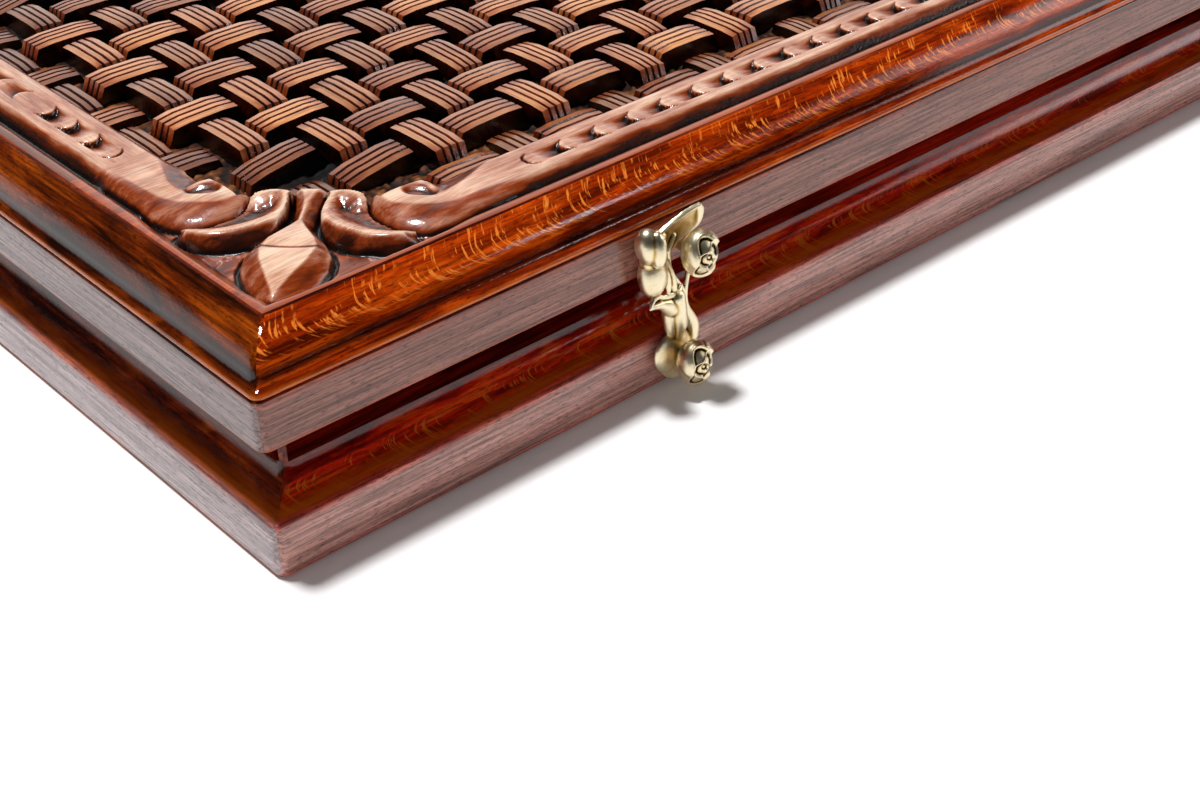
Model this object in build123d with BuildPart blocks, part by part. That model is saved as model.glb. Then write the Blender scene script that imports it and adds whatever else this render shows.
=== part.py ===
"""Folding backgammon case with a carved basket-weave lid and two brass hook clasps.

The closed case lies on its base. +Z is up, +X runs along the clasp face, and the
hinges are on the +Y side. The origin is the middle of the base's flat underside.
All sizes are millimetres.
"""
import os
from math import hypot

from build123d import *

os.makedirs("parts", exist_ok=True)

# Driving sizes of the case
case_length = 600.0
case_width = 300.0
base_height = 33.35
lid_height = 31.55
parting_gap = 0.3
rail_width = 22.0
fit_gap = 0.02

# Base moulding, from the table up
base_band_height = 16.0
bottom_arris = 1.8
top_arris = 1.0
shelf_depth = 3.5
shelf_rise = 1.0
cove_radius = 7.0

# Lid moulding, measured from the lid's rim
lid_neck_height = 3.35
lid_band_height = 14.0
bead_height = 2.0
bead_inset = 0.6
lid_cove_height = 3.0
lid_cove_depth = 2.6
bulge_fullness = 1.8

# Panels
bottom_panel_thickness = 8.0
bottom_rabbet = 10.0
field_panel_thickness = 4.0
board_rabbet = 10.5
board_plate_thickness = 4.0
board_seat_depth = 10.2

# Playing points, inlaid flush
points_per_end = 6
point_length = 222.0
point_side_margin = 0.8
inlay_thickness = 1.0

# Carved board: rim, groove and border band, from the board's edge inwards
rim_flat = 3.5
rim_groove_width = 1.5
rim_groove_depth = 1.8
border_outer_slope = 4.0
border_rise = 2.8
border_flat = 13.5
border_inner_slope = 3.5
border_inner_drop = 3.0
corner_rim_width = 1.2
scroll_length = 89.5
gouge_radius = 5.0
gouge_depth = 1.4
gouge_pitch = 13.0

# Basket weave
column_pitch = 18.42
row_pitch = 18.67
along_strap_width = 11.0
across_strap_width = 9.2
strap_crown_drop = 0.4
strap_end_drop = 5.5

# Clasps
clasp_from_end = 128.4
pivot_height = 9.3
catch_above_rim = 8.85
catch_sideways = 1.6
shank_radius = 2.0
shank_depth = 11.0
running_clearance = 0.05
hook_standoff = 0.5
hook_thickness = 3.4
hook_play = 0.4
hook_leaf_width = 5.0
hook_leaf_overhang = 5.6
hook_ball_radius = 5.6
eye_radius = 7.8
rose_gap = 0.4
rose_radius = 6.6
rose_height = 9.6

# Hinges
hinge_from_end = 110.0
leaf_length = 50.0
leaf_width = 17.0
leaf_thickness = 1.2
knuckle_radius = 2.4
knuckle_count = 5
knuckle_gap = 0.25
barrel_relief = 0.35
pin_radius = 1.2
pin_overhang = 1.0
screw_head_radius = 2.6
screw_radius = 1.4
screw_length = 9.0
screws_per_leaf = 3
slot_width = 0.7

# Playing pieces
checker_radius = 18.0
checker_thickness = 9.0
checkers_per_side = 15
checker_layers = 2
checker_rim = 3.0
checker_dish = 0.8
loose_gap = 0.3
die_size = 13.0
die_round = 1.6
pip_radius = 1.1

# Levels, insets and planes worked out from the sizes above
neck_inset = shelf_depth + cove_radius
lid_rim = base_height + parting_gap
band_low = lid_rim + lid_neck_height
band_high = band_low + lid_band_height
cove_low = band_high + bead_height
cove_high = cove_low + lid_cove_height
ridge_z = lid_rim + lid_height
board_edge = rail_width - board_rabbet
board_bottom = ridge_z - board_seat_depth
weave_ground = board_bottom + board_plate_thickness
groove_z = ridge_z - rim_groove_depth
groove_inset = board_edge + rim_flat + rim_groove_width
border_top = groove_z + border_rise
border_inset = groove_inset + border_outer_slope
border_inner_inset = border_inset + border_flat
weave_inset = border_inner_inset + border_inner_slope
weave_length = case_length - 2 * weave_inset
weave_width = case_width - 2 * weave_inset
strap_crown = border_top - strap_crown_drop
base_floor = bottom_panel_thickness + field_panel_thickness
lid_ceiling = board_bottom - field_panel_thickness
inner_length = case_length - 2 * rail_width
inner_width = case_width - 2 * rail_width
front_face = -case_width / 2
clasp_offset = case_length / 2 - clasp_from_end
catch_height = lid_rim + catch_above_rim
catch_reach = hypot(catch_sideways, catch_height - pivot_height)
leaf_reach = catch_reach + shank_radius + hook_play
hook_front = hook_standoff + hook_thickness
rose_seat = hook_front + rose_gap
hinge_offset = case_length / 2 - hinge_from_end
hinge_y = case_width / 2 + parting_gap / 2
hinge_z = base_height + parting_gap / 2
knuckle_pitch = leaf_length / knuckle_count
ends = (("left", -1), ("right", 1))

# One plane for each side: x runs inwards, y up, and the plane's normal runs along the side
side_plane = {
    "front": Plane((-case_length / 2, -case_width / 2, 0), x_dir=(0, 1, 0), z_dir=(1, 0, 0)),
    "back": Plane((case_length / 2, case_width / 2, 0), x_dir=(0, -1, 0), z_dir=(-1, 0, 0)),
    "left": Plane((-case_length / 2, case_width / 2, 0), x_dir=(1, 0, 0), z_dir=(0, -1, 0)),
    "right": Plane((case_length / 2, -case_width / 2, 0), x_dir=(-1, 0, 0), z_dir=(0, 1, 0)),
}
side_run = {"front": case_length, "back": case_length, "left": case_width, "right": case_width}


def save(piece, node):
    """Label a finished piece and write it under its node's name."""
    piece.part.label = node
    export_step(piece.part, f"parts/{node}.step")


def face_plane(x, z):
    """A plane on the clasp face: its x runs along the case, y up, and it faces outwards."""
    return Plane((x, front_face, z), x_dir=(1, 0, 0), z_dir=(0, -1, 0))


def base_outline(moulded):
    """Section of a base rail: x is the distance in from the outer face, y the height."""
    cove_foot = (shelf_depth, base_band_height + shelf_rise)
    neck_foot = (neck_inset, cove_foot[1] + cove_radius)
    if moulded:
        Line((0, bottom_arris), (0, base_band_height - top_arris))
        RadiusArc((0, base_band_height - top_arris), (top_arris, base_band_height), top_arris)
        Line((top_arris, base_band_height), cove_foot)
        RadiusArc(cove_foot, neck_foot, -cove_radius)
        Line(neck_foot, (neck_inset, base_height))
        Line((neck_inset, base_height), (rail_width, base_height))
    else:
        Polyline((0, bottom_arris), (0, base_height), (rail_width, base_height))
    Polyline((rail_width, base_height), (rail_width, bottom_panel_thickness),
             (rail_width - bottom_rabbet, bottom_panel_thickness),
             (rail_width - bottom_rabbet, 0), (bottom_arris, 0))
    RadiusArc((bottom_arris, 0), (0, bottom_arris), bottom_arris)


def lid_outline(moulded):
    """Section of a lid rail, with the bead, cove and bulge that frame the carved board."""
    bulge_foot = (lid_cove_depth, cove_high)
    ridge = (board_edge, ridge_z)
    chord = Vector(ridge[0] - bulge_foot[0], ridge[1] - bulge_foot[1])
    outwards = Vector(-chord.Y, chord.X).normalized() * bulge_fullness
    bulge = (bulge_foot[0] + chord.X / 2 + outwards.X, bulge_foot[1] + chord.Y / 2 + outwards.Y)
    if moulded:
        Polyline((rail_width, lid_rim), (neck_inset, lid_rim), (neck_inset, band_low),
                 (0, band_low), (0, band_high), (bead_inset, band_high))
    else:
        Polyline((rail_width, lid_rim), (0, lid_rim), (0, band_high), (bead_inset, band_high))
    ThreePointArc((bead_inset, band_high), (bead_inset / 5, band_high + bead_height / 2),
                  (bead_inset, cove_low))
    RadiusArc((bead_inset, cove_low), bulge_foot, -1.3 * lid_cove_height)
    ThreePointArc(bulge_foot, bulge, ridge)
    Polyline(ridge, (board_edge, board_bottom), (rail_width, board_bottom), (rail_width, lid_rim))


def rail(outline, side):
    """A mitred side of the base or the lid, moulded on all sides but the hinge side."""
    plane = side_plane[side]
    far_corner = plane.origin + plane.z_dir * side_run[side]
    with BuildPart() as stick:
        with BuildSketch(plane):
            with BuildLine():
                outline(side != "back")
            make_face()
        extrude(amount=side_run[side])
        split(bisect_by=Plane(plane.origin, z_dir=plane.z_dir - plane.x_dir), keep=Keep.TOP)
        split(bisect_by=Plane(far_corner, z_dir=-plane.z_dir - plane.x_dir), keep=Keep.TOP)
    return stick.part


def clasp_holes(height, sideways):
    """Blind shank holes in the front face, one at each clasp."""
    with Locations(*[face_plane(sign * clasp_offset + sideways, height) for name, sign in ends]):
        Hole(shank_radius + fit_gap, depth=shank_depth)


def screw_places(x):
    """Screw centres of one hinge leaf, in a row with the middle one set further in."""
    pitch = leaf_length / screws_per_leaf
    for number in range(screws_per_leaf):
        across = 0.58 if number % 2 == 0 else 0.74
        yield x + (number - (screws_per_leaf - 1) / 2) * pitch, hinge_y - across * leaf_width


def hinge_seats(seat, inwards):
    """Leaf recesses, screw holes and barrel relief in a back rail's parting face."""
    for name, sign in ends:
        x = sign * hinge_offset
        with Locations((x, hinge_y - leaf_width / 2, seat + inwards * leaf_thickness / 2)):
            Box(leaf_length, leaf_width, leaf_thickness, mode=Mode.SUBTRACT)
        with Locations(Plane((x, hinge_y, hinge_z), z_dir=(1, 0, 0))):
            Cylinder(knuckle_radius + barrel_relief, leaf_length + 2 * (pin_overhang + barrel_relief),
                     mode=Mode.SUBTRACT)
        with Locations(*[(px, py, seat + inwards * screw_length / 2) for px, py in screw_places(x)]):
            Cylinder(screw_radius + fit_gap, screw_length, mode=Mode.SUBTRACT)


def make_rails():
    """The four mitred rails of the base and of the lid, bored and recessed for their brass."""
    for side in side_plane:
        with BuildPart() as base_rail:
            add(rail(base_outline, side))
            if side == "front":
                clasp_holes(pivot_height, 0)
            if side == "back":
                hinge_seats(base_height, -1)
        save(base_rail, f"base_{side}_rail")
        with BuildPart() as lid_rail:
            add(rail(lid_outline, side))
            if side == "front":
                clasp_holes(catch_height, catch_sideways)
            if side == "back":
                hinge_seats(lid_rim, 1)
        save(lid_rail, f"lid_{side}_rail")


def make_bottom_panel():
    """The plain bottom panel, let into the rails' rabbet flush with their undersides."""
    inset = rail_width - bottom_rabbet
    with BuildPart() as bottom_panel:
        with BuildSketch():
            Rectangle(case_length - 2 * inset, case_width - 2 * inset)
        extrude(amount=bottom_panel_thickness)
    save(bottom_panel, "base_bottom_panel")


def point_triangles(light):
    """Every second playing point of one half: triangles with their bases on the end rails."""
    width = inner_width / points_per_end
    half_base = width / 2 - point_side_margin
    for name, sign in ends:
        for number in range(points_per_end):
            if (number % 2 == 0) == (light == (sign > 0)):
                y = (number - (points_per_end - 1) / 2) * width
                foot = sign * inner_length / 2
                Polygon((foot, y - half_base), (foot - sign * point_length, y),
                        (foot, y + half_base), align=None)


def make_field(half, low, inlay_low):
    """A half's playing surface: a panel with flush inlaid light and dark points."""
    with BuildPart() as field_panel:
        with BuildSketch(Plane.XY.offset(low)):
            Rectangle(inner_length, inner_width)
        extrude(amount=field_panel_thickness)
        for light in (True, False):
            with BuildSketch(Plane.XY.offset(inlay_low)):
                point_triangles(light)
            extrude(amount=inlay_thickness, mode=Mode.SUBTRACT)
    save(field_panel, f"{half}_field_panel")
    for light, shade in ((True, "light"), (False, "dark")):
        with BuildPart() as points:
            with BuildSketch(Plane.XY.offset(inlay_low)):
                point_triangles(light)
            extrude(amount=inlay_thickness)
        save(points, f"{half}_{shade}_points")


def strap_arch(span, width):
    """One carved strap where it passes over its neighbour: an arch that dives at both ends."""
    root = -board_plate_thickness / 2
    crown = strap_crown - weave_ground
    end = crown - strap_end_drop
    with BuildPart() as arch:
        with BuildSketch(Plane.XZ):
            with BuildLine():
                Polyline((-span / 2, end), (-span / 2, root), (span / 2, root), (span / 2, end))
                ThreePointArc((span / 2, end), (0, crown), (-span / 2, end))
            make_face()
        extrude(amount=width / 2, both=True)
    return arch.part


def weave_cells(parity):
    """Crossings of the plain weave where the strap of one direction lies on top."""
    columns = 2 * int(weave_length / 2 / column_pitch) + 1
    rows = 2 * round(weave_width / 2 / row_pitch)
    for column in range(columns):
        for row in range(rows):
            x = (column - (columns - 1) / 2) * column_pitch
            y = (row - (rows - 1) / 2) * row_pitch
            in_corner = abs(x) > weave_length / 2 - column_pitch and abs(y) > weave_width / 2 - row_pitch
            if (column + row) % 2 == parity and not in_corner:
                yield x, y, weave_ground


def border_bar(side):
    """The rim, groove and flat border band along one side, between its corner scrolls."""
    plane = side_plane[side]
    start = board_edge + scroll_length
    with BuildPart() as bar:
        with BuildSketch(plane.offset(start)):
            with BuildLine():
                Polyline((board_edge, board_bottom), (board_edge, ridge_z),
                         (board_edge + rim_flat, ridge_z), (groove_inset, groove_z),
                         (border_inset, border_top), (border_inner_inset, border_top),
                         (weave_inset, border_top - border_inner_drop),
                         (weave_inset, board_bottom), close=True)
            make_face()
        extrude(amount=side_run[side] - 2 * start)
    return bar.part


def corner_scroll():
    """The border's narrowing end and its volute, measured from the board's corner."""
    low = border_inset - board_edge
    high = border_inner_inset - board_edge
    with BuildPart() as scroll:
        with BuildSketch(Plane.XY.offset(board_bottom)):
            with BuildLine():
                Polyline((scroll_length, low), (scroll_length, high), (75.0, high - 4.5),
                         (62.0, high - 6.0), (54.0, low), close=True)
            make_face()
            with BuildLine():
                Spline((66.0, 10.0), (56.0, 5.5), (48.5, 3.0), (42.0, 7.0), (40.5, 14.5),
                       (43.5, 22.5), (48.5, 28.5), (56.0, 31.3), (62.5, 28.0), (65.0, 21.5),
                       (62.0, 15.0), periodic=True)
            make_face()
            with Locations((59.5, 22.5)):
                Circle(2.2, mode=Mode.SUBTRACT)
        extrude(amount=border_top - board_bottom)
    return scroll.part


def corner_petal():
    """The crescent petal between the volute and the bud, measured from the board's corner."""
    with BuildPart() as petal:
        with BuildSketch(Plane.XY.offset(board_bottom)):
            with BuildLine():
                ThreePointArc((10.0, 44.0), (20.0, 36.7), (36.5, 45.5))
                ThreePointArc((36.5, 45.5), (16.0, 28.0), (6.5, 39.0))
                Line((6.5, 39.0), (10.0, 44.0))
            make_face()
        extrude(amount=border_top - board_bottom)
    return petal.part


def corner_bud():
    """The faceted diamond bud that points into the corner, on its flaring stem."""
    with BuildPart() as bud:
        with BuildSketch(Plane.XY.offset(board_bottom)):
            with BuildLine():
                Polyline((0.8, 0.8), (2.0, 11.0), (6.5, 20.5), (16.0, 27.0), (29.0, 36.0),
                         (38.5, 45.0), (45.0, 38.5), (36.0, 29.0), (27.0, 16.0),
                         (20.5, 6.5), (11.0, 2.0), close=True)
            make_face()
        extrude(amount=ridge_z - rim_groove_depth - board_bottom)
        with BuildSketch(Plane.XY.offset(groove_z)):
            with BuildLine():
                Polyline((0.8, 0.8), (5.5, 20.0), (16.0, 27.0), (27.0, 16.0), (20.0, 5.5), close=True)
            make_face()
        with BuildSketch(Plane.XY.offset(border_top)):
            with BuildLine():
                Polyline((10.0, 10.0), (12.0, 17.0), (17.0, 21.0), (21.0, 17.0), (17.0, 12.0),
                         close=True)
            make_face()
        loft()
    return bud.part


def corner_ornament():
    """Everything carved in one corner, placed at the board's left front corner."""
    diagonal = Plane((0, 0, 0), z_dir=(1, -1, 0))
    corner = Location((board_edge - case_length / 2, board_edge - case_width / 2, 0))
    with BuildPart() as ornament:
        for piece in (corner_scroll(), corner_petal()):
            add(piece)
            add(mirror(piece, about=diagonal, mode=Mode.PRIVATE))
        add(corner_bud())
    return ornament.part.moved(corner)


def gouge_places():
    """Centres of the thumbnail cuts along the middle of the border."""
    middle = (border_inset + border_inner_inset) / 2
    for run, across in ((case_length, case_width), (case_width, case_length)):
        count = int((run - 2 * (board_edge + scroll_length)) / gouge_pitch) + 1
        for number in range(count):
            along = (number - (count - 1) / 2) * gouge_pitch
            for offset in (middle - across / 2, across / 2 - middle):
                yield (along, offset) if run == case_length else (offset, along)


def make_carved_board():
    """The carved lid board: rim, border, corner flowers and a sunk basket weave."""
    board_length = case_length - 2 * board_edge
    board_width = case_width - 2 * board_edge
    with BuildPart() as carved_board:
        with BuildSketch(Plane.XY.offset(board_bottom)):
            Rectangle(board_length, board_width)
        extrude(amount=board_plate_thickness)
        with BuildSketch(Plane.XY.offset(board_bottom)):
            Rectangle(board_length, board_width)
            Rectangle(board_length - 2 * corner_rim_width, board_width - 2 * corner_rim_width,
                      mode=Mode.SUBTRACT)
        extrude(amount=ridge_z - board_bottom)
        with Locations(*weave_cells(1)):
            add(strap_arch(2 * column_pitch - across_strap_width, along_strap_width))
        with Locations(*weave_cells(0)):
            add(strap_arch(2 * row_pitch - along_strap_width, across_strap_width), rotation=(0, 0, 90))
        for side in side_plane:
            add(border_bar(side))
        ornament = corner_ornament()
        for piece in (ornament, mirror(ornament, about=Plane.YZ, mode=Mode.PRIVATE)):
            add(piece)
            add(mirror(piece, about=Plane.XZ, mode=Mode.PRIVATE))
        with Locations(*[(x, y, border_top - gouge_depth + gouge_radius) for x, y in gouge_places()]):
            Sphere(gouge_radius, mode=Mode.SUBTRACT)
    save(carved_board, "lid_carved_board")


def make_rose_stud(node, x, z):
    """A brass stud: a shank in the wood and a cupped rose head with petals."""
    face = face_plane(x, z)
    outwards = Plane(face.origin, x_dir=(1, 0, 0), z_dir=(0, 0, -1))
    top = rose_seat + rose_height
    with BuildPart() as rose_stud:
        with BuildSketch(outwards):
            with BuildLine():
                Polyline((0, top - 1.6), (0, -shank_depth), (shank_radius, -shank_depth),
                         (shank_radius, rose_seat), (0.5 * rose_radius, rose_seat))
                ThreePointArc((0.5 * rose_radius, rose_seat),
                              (rose_radius, rose_seat + 0.5 * rose_height), (0.7 * rose_radius, top))
                Polyline((0.7 * rose_radius, top), (0.45 * rose_radius, top - 2.4), (0, top - 1.6))
            make_face()
        revolve(axis=Axis(face.origin, face.z_dir))
        with Locations(face.offset(top)):
            with PolarLocations(0.9 * rose_radius, 3):
                Sphere(0.3 * rose_radius, mode=Mode.SUBTRACT)
    save(rose_stud, node)


def hook_outline():
    """The flat outline of the hook about its pivot: arm and open head."""
    top = leaf_reach + hook_leaf_width
    tip = hook_leaf_overhang + catch_sideways
    left = -eye_radius
    inner = Spline((5.6, 0.14 * catch_reach), (2.4, 0.46 * catch_reach),
                   (-1.8, 0.66 * catch_reach), (-3.6, 0.88 * catch_reach),
                   (-1.4, (leaf_reach**2 - 1.4**2) ** 0.5))
    under = RadiusArc(inner @ 1, (tip, (leaf_reach**2 - tip**2) ** 0.5), leaf_reach)
    end = Line(under @ 1, (tip, (top**2 - tip**2) ** 0.5))
    crown = RadiusArc(end @ 1, (left, (top**2 - left**2) ** 0.5), -top)
    outer = Spline(crown @ 1, (-13.8, 0.98 * catch_reach), (-13.6, 0.78 * catch_reach),
                   (-8.5, 0.58 * catch_reach), (-5.8, 0.39 * catch_reach),
                   (-5.0, 0.1 * catch_reach))
    Line(outer @ 1, inner @ 0)


def make_hook(node, x):
    """The brass hook that turns on its pivot and hangs its leaf over the catch."""
    face = face_plane(x, pivot_height)
    with BuildPart() as hook:
        with BuildSketch(face.offset(hook_standoff)):
            with BuildLine():
                hook_outline()
            make_face()
            Circle(eye_radius)
            Polygon((-6.2, 0.52 * catch_reach), (-6.5, 0.66 * catch_reach),
                    (-12.8, 0.72 * catch_reach), (-13.6, 0.66 * catch_reach), align=None)
        extrude(amount=hook_thickness)
        with Locations(face.offset(hook_front + 0.4 * hook_ball_radius)):
            with Locations((-13.1, 1.18 * catch_reach)):
                Sphere(hook_ball_radius, rotation=(60, 0, 30))
        with Locations(face.offset(hook_front)):
            Hole(shank_radius + running_clearance, depth=hook_thickness)
    save(hook, node)


def make_clasps():
    """Both clasps, each a hook on a pivot stud in the base and a catch stud in the lid."""
    for name, sign in ends:
        x = sign * clasp_offset
        make_hook(f"{name}_hook", x)
        make_rose_stud(f"{name}_pivot_stud", x, pivot_height)
        make_rose_stud(f"{name}_catch_stud", x + catch_sideways, catch_height)


def make_hinge_leaf(node, x, seat, inwards, own_first):
    """A butt hinge leaf with its share of the knuckles and countersunk screw holes."""
    own = [(x + (number - (knuckle_count - 1) / 2) * knuckle_pitch, hinge_y, hinge_z)
           for number in range(knuckle_count) if number % 2 == own_first]
    other = [(x + (number - (knuckle_count - 1) / 2) * knuckle_pitch, hinge_y, hinge_z)
             for number in range(knuckle_count) if number % 2 != own_first]
    along_x = [Plane(place, z_dir=(1, 0, 0)) for place in own]
    with BuildPart() as leaf:
        with Locations((x, hinge_y - leaf_width / 2, seat + inwards * leaf_thickness / 2)):
            Box(leaf_length - 2 * fit_gap, leaf_width, leaf_thickness)
        with Locations(*along_x):
            Cylinder(knuckle_radius, knuckle_pitch - knuckle_gap)
        with Locations(*[Plane(place, z_dir=(1, 0, 0)) for place in other]):
            Cylinder(knuckle_radius + barrel_relief, knuckle_pitch + knuckle_gap, mode=Mode.SUBTRACT)
        with Locations(Plane((x, hinge_y, hinge_z), z_dir=(1, 0, 0))):
            Cylinder(pin_radius + running_clearance, leaf_length, mode=Mode.SUBTRACT)
        with Locations(*[(px, py, seat) for px, py in screw_places(x)]):
            add(countersunk_screw(fit_gap, inwards), mode=Mode.SUBTRACT)
    save(leaf, node)


def countersunk_screw(allowance, inwards):
    """A screw with its head flush at z 0 and its shank running inwards into the wood."""
    head = screw_head_radius + allowance
    shank = screw_radius + allowance
    with BuildPart() as screw:
        with BuildSketch(Plane.XZ):
            with BuildLine():
                Polyline((0, 0), (head, 0), (shank, inwards * leaf_thickness),
                         (shank, inwards * screw_length), (0, inwards * screw_length), close=True)
            make_face()
        revolve(axis=Axis.Z)
    return screw.part


def make_hinge_screws(node, seat, inwards):
    """All screws of one half's hinge leaves, as separate solids."""
    with BuildPart() as screws:
        for name, sign in ends:
            for place in screw_places(sign * hinge_offset):
                with Locations((*place, seat)):
                    add(countersunk_screw(0, inwards))
                    Box(2 * screw_head_radius, slot_width, leaf_thickness, mode=Mode.SUBTRACT)
    save(screws, node)


def make_hinges():
    """Two butt hinges let into the parting faces, with their pins and screws."""
    for name, sign in ends:
        x = sign * hinge_offset
        make_hinge_leaf(f"{name}_hinge_base_leaf", x, base_height, -1, 0)
        make_hinge_leaf(f"{name}_hinge_lid_leaf", x, lid_rim, 1, 1)
        with BuildPart() as hinge_pin:
            with Locations(Plane((x, hinge_y, hinge_z), z_dir=(1, 0, 0))):
                Cylinder(pin_radius, leaf_length + 2 * pin_overhang)
            chamfer(hinge_pin.edges().filter_by(GeomType.CIRCLE), length=pin_radius / 3)
        save(hinge_pin, f"{name}_hinge_pin")
    make_hinge_screws("hinge_screws_base", base_height, -1)
    make_hinge_screws("hinge_screws_lid", lid_rim, 1)


def checker():
    """A turned playing piece, dished on both faces inside a raised rim."""
    inner = checker_radius - checker_rim
    high = checker_thickness
    with BuildPart() as turned:
        with BuildSketch(Plane.XZ):
            with BuildLine():
                Polyline((0, checker_dish), (inner - checker_dish, checker_dish), (inner, 0),
                         (checker_radius - checker_dish, 0), (checker_radius, checker_dish),
                         (checker_radius, high - checker_dish), (checker_radius - checker_dish, high),
                         (inner, high), (inner - checker_dish, high - checker_dish),
                         (0, high - checker_dish), close=True)
            make_face()
        revolve(axis=Axis.Z)
    return turned.part


def checker_places(sign):
    """Where one side's playing pieces lie: layered rows along one end of the base."""
    pitch = 2 * checker_radius + loose_gap
    per_row = int(inner_width / pitch)
    for number in range(checkers_per_side):
        row, place = divmod(number, per_row)
        column, layer = divmod(row, checker_layers)
        yield (sign * (inner_length / 2 - (column + 0.5) * pitch),
               (place - (per_row - 1) / 2) * pitch,
               base_floor + layer * (checker_thickness + fit_gap))


def die():
    """A playing die with rounded edges and hollow pips, opposite faces adding to seven."""
    reach = die_size / 2
    step = die_size / 4
    spots = {1: [(0, 0)], 2: [(-1, -1), (1, 1)], 3: [(-1, -1), (0, 0), (1, 1)],
             4: [(-1, -1), (-1, 1), (1, -1), (1, 1)],
             5: [(-1, -1), (-1, 1), (0, 0), (1, -1), (1, 1)],
             6: [(-1, -1), (-1, 0), (-1, 1), (1, -1), (1, 0), (1, 1)]}
    facing = {1: (0, 0, 1), 6: (0, 0, -1), 2: (0, 1, 0), 5: (0, -1, 0), 3: (1, 0, 0), 4: (-1, 0, 0)}
    with BuildPart() as cube:
        Box(die_size, die_size, die_size)
        fillet(cube.edges(), radius=die_round)
        for count, direction in facing.items():
            with Locations(Plane(Vector(*direction) * (reach + pip_radius / 2), z_dir=direction)):
                with Locations(*[(x * step, y * step) for x, y in spots[count]]):
                    Sphere(pip_radius, mode=Mode.SUBTRACT)
    return cube.part


def make_playing_pieces():
    """The two sides' checkers and a pair of dice, put away in the base."""
    for shade, sign in (("light", -1), ("dark", 1)):
        with BuildPart() as checkers:
            with Locations(*checker_places(sign)):
                add(checker())
        save(checkers, f"{shade}_checkers")
    row = inner_length / 2 - 3 * checker_radius - die_size
    with BuildPart() as dice:
        with Locations((-row, 0, base_floor + die_size / 2),
                       (-row, 2 * die_size, base_floor + die_size / 2)):
            add(die())
    save(dice, "dice")


if __name__ == "__main__":
    make_rails()
    make_bottom_panel()
    make_field("base", bottom_panel_thickness, base_floor - inlay_thickness)
    make_field("lid", lid_ceiling, lid_ceiling)
    make_carved_board()
    make_clasps()
    make_hinges()
    make_playing_pieces()
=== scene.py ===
# %% [markdown]
# A folding backgammon case, closed and lying on its base. Its rails are moulded beech under a
# red-brown gloss lacquer, and its lid is a carved board: a sunk basket weave inside a flat border
# with thumbnail cuts, and a bud, two petals and two scrolls in each corner. A cast brass hook
# holds the lid at each end of the long side.
#
# The exact case, with its hinges and playing pieces, is loaded first. Everything that follows
# dresses it, or stands in for a piece of it with a richer one, so all places are already right.

# %% Load the case
import math
import random

import bmesh
import bpy
import numpy as np
from mathutils import Matrix, Vector


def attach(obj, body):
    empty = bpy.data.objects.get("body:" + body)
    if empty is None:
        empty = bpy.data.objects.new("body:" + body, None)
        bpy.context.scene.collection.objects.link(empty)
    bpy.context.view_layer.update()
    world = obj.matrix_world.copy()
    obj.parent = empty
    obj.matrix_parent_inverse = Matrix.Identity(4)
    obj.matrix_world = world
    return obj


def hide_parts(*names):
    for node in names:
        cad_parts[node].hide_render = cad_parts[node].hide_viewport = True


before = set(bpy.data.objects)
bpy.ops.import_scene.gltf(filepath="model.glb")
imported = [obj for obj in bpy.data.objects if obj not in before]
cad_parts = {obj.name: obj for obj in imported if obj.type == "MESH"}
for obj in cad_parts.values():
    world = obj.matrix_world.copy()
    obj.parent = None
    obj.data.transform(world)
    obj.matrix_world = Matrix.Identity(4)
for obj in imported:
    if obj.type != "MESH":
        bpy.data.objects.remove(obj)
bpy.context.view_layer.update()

bpy.ops.object.select_all(action="DESELECT")
mm = 0.001

# %% [markdown]
# Sizes of the case are needed again and again, so they get names. Everything is measured in
# millimetres from the case's own corner, and one helper turns such a place into the shared frame,
# whose origin is the middle of the underside.

# %% Sizes of the case
case_length, case_width = 600.0, 300.0
# Across the carved board: where it meets the rail, where its border ends and the weave's ground
# begins, and the square in each corner that the flower fills.
board_edge, weave_edge, border_foot = 11.5, 38.2, 38.4
corner_reach = 101.0
# Up the carved board: its underside, the ground of the weave, and the flat top of the border.
board_bottom, weave_ground, border_top = 55.05, 59.3, 66.15
# The weave: its first crossing and the step from one crossing to the next.
column_start, column_pitch = 38.9, 18.3
row_start, row_pitch = 40.1, 18.8
# The clasps: how far in from the case's ends they sit, and how high their pivots are.
clasp_inset, pivot_height = 128.4, 9.3


def place(x, y, z):
    """A point given in mm from the front left corner, in metres in the shared frame."""
    return Vector(((x - case_length / 2) * mm, (y - case_width / 2) * mm, z * mm))


print("straps repeat every", column_pitch, "by", row_pitch, "mm")

# %% [markdown]
# Two small helpers make every finish. One turns a colour written as sRGB hex into the linear
# values that a shader wants. The other adds a node with its settings and links, so a finish reads
# as a list of what the maker did.

# %% Colour and node helpers
def hex_colour(code):
    """Linear RGBA of an sRGB hex colour."""
    channels = [int(code[i:i + 2], 16) / 255 for i in (1, 3, 5)]
    return (*[c / 12.92 if c <= 0.04045 else ((c + 0.055) / 1.055) ** 2.4 for c in channels], 1.0)


def add_node(tree, kind, inputs=None, stops=None, **settings):
    """Add a node, with its settings, its colour stops, and values or links for its inputs."""
    made = tree.nodes.new(kind)
    for name, value in settings.items():
        setattr(made, name, value)
    for name, value in (inputs or {}).items():
        if isinstance(value, bpy.types.NodeSocket):
            tree.links.new(value, made.inputs[name])
        else:
            made.inputs[name].default_value = value
    for number, (position, colour) in enumerate(stops or []):
        elements = made.color_ramp.elements
        stop = elements[number] if number < 2 else elements.new(position)
        stop.position = position
        grey = not isinstance(colour, str)
        stop.color = (colour, colour, colour, 1.0) if grey else hex_colour(colour)
    return made


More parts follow.
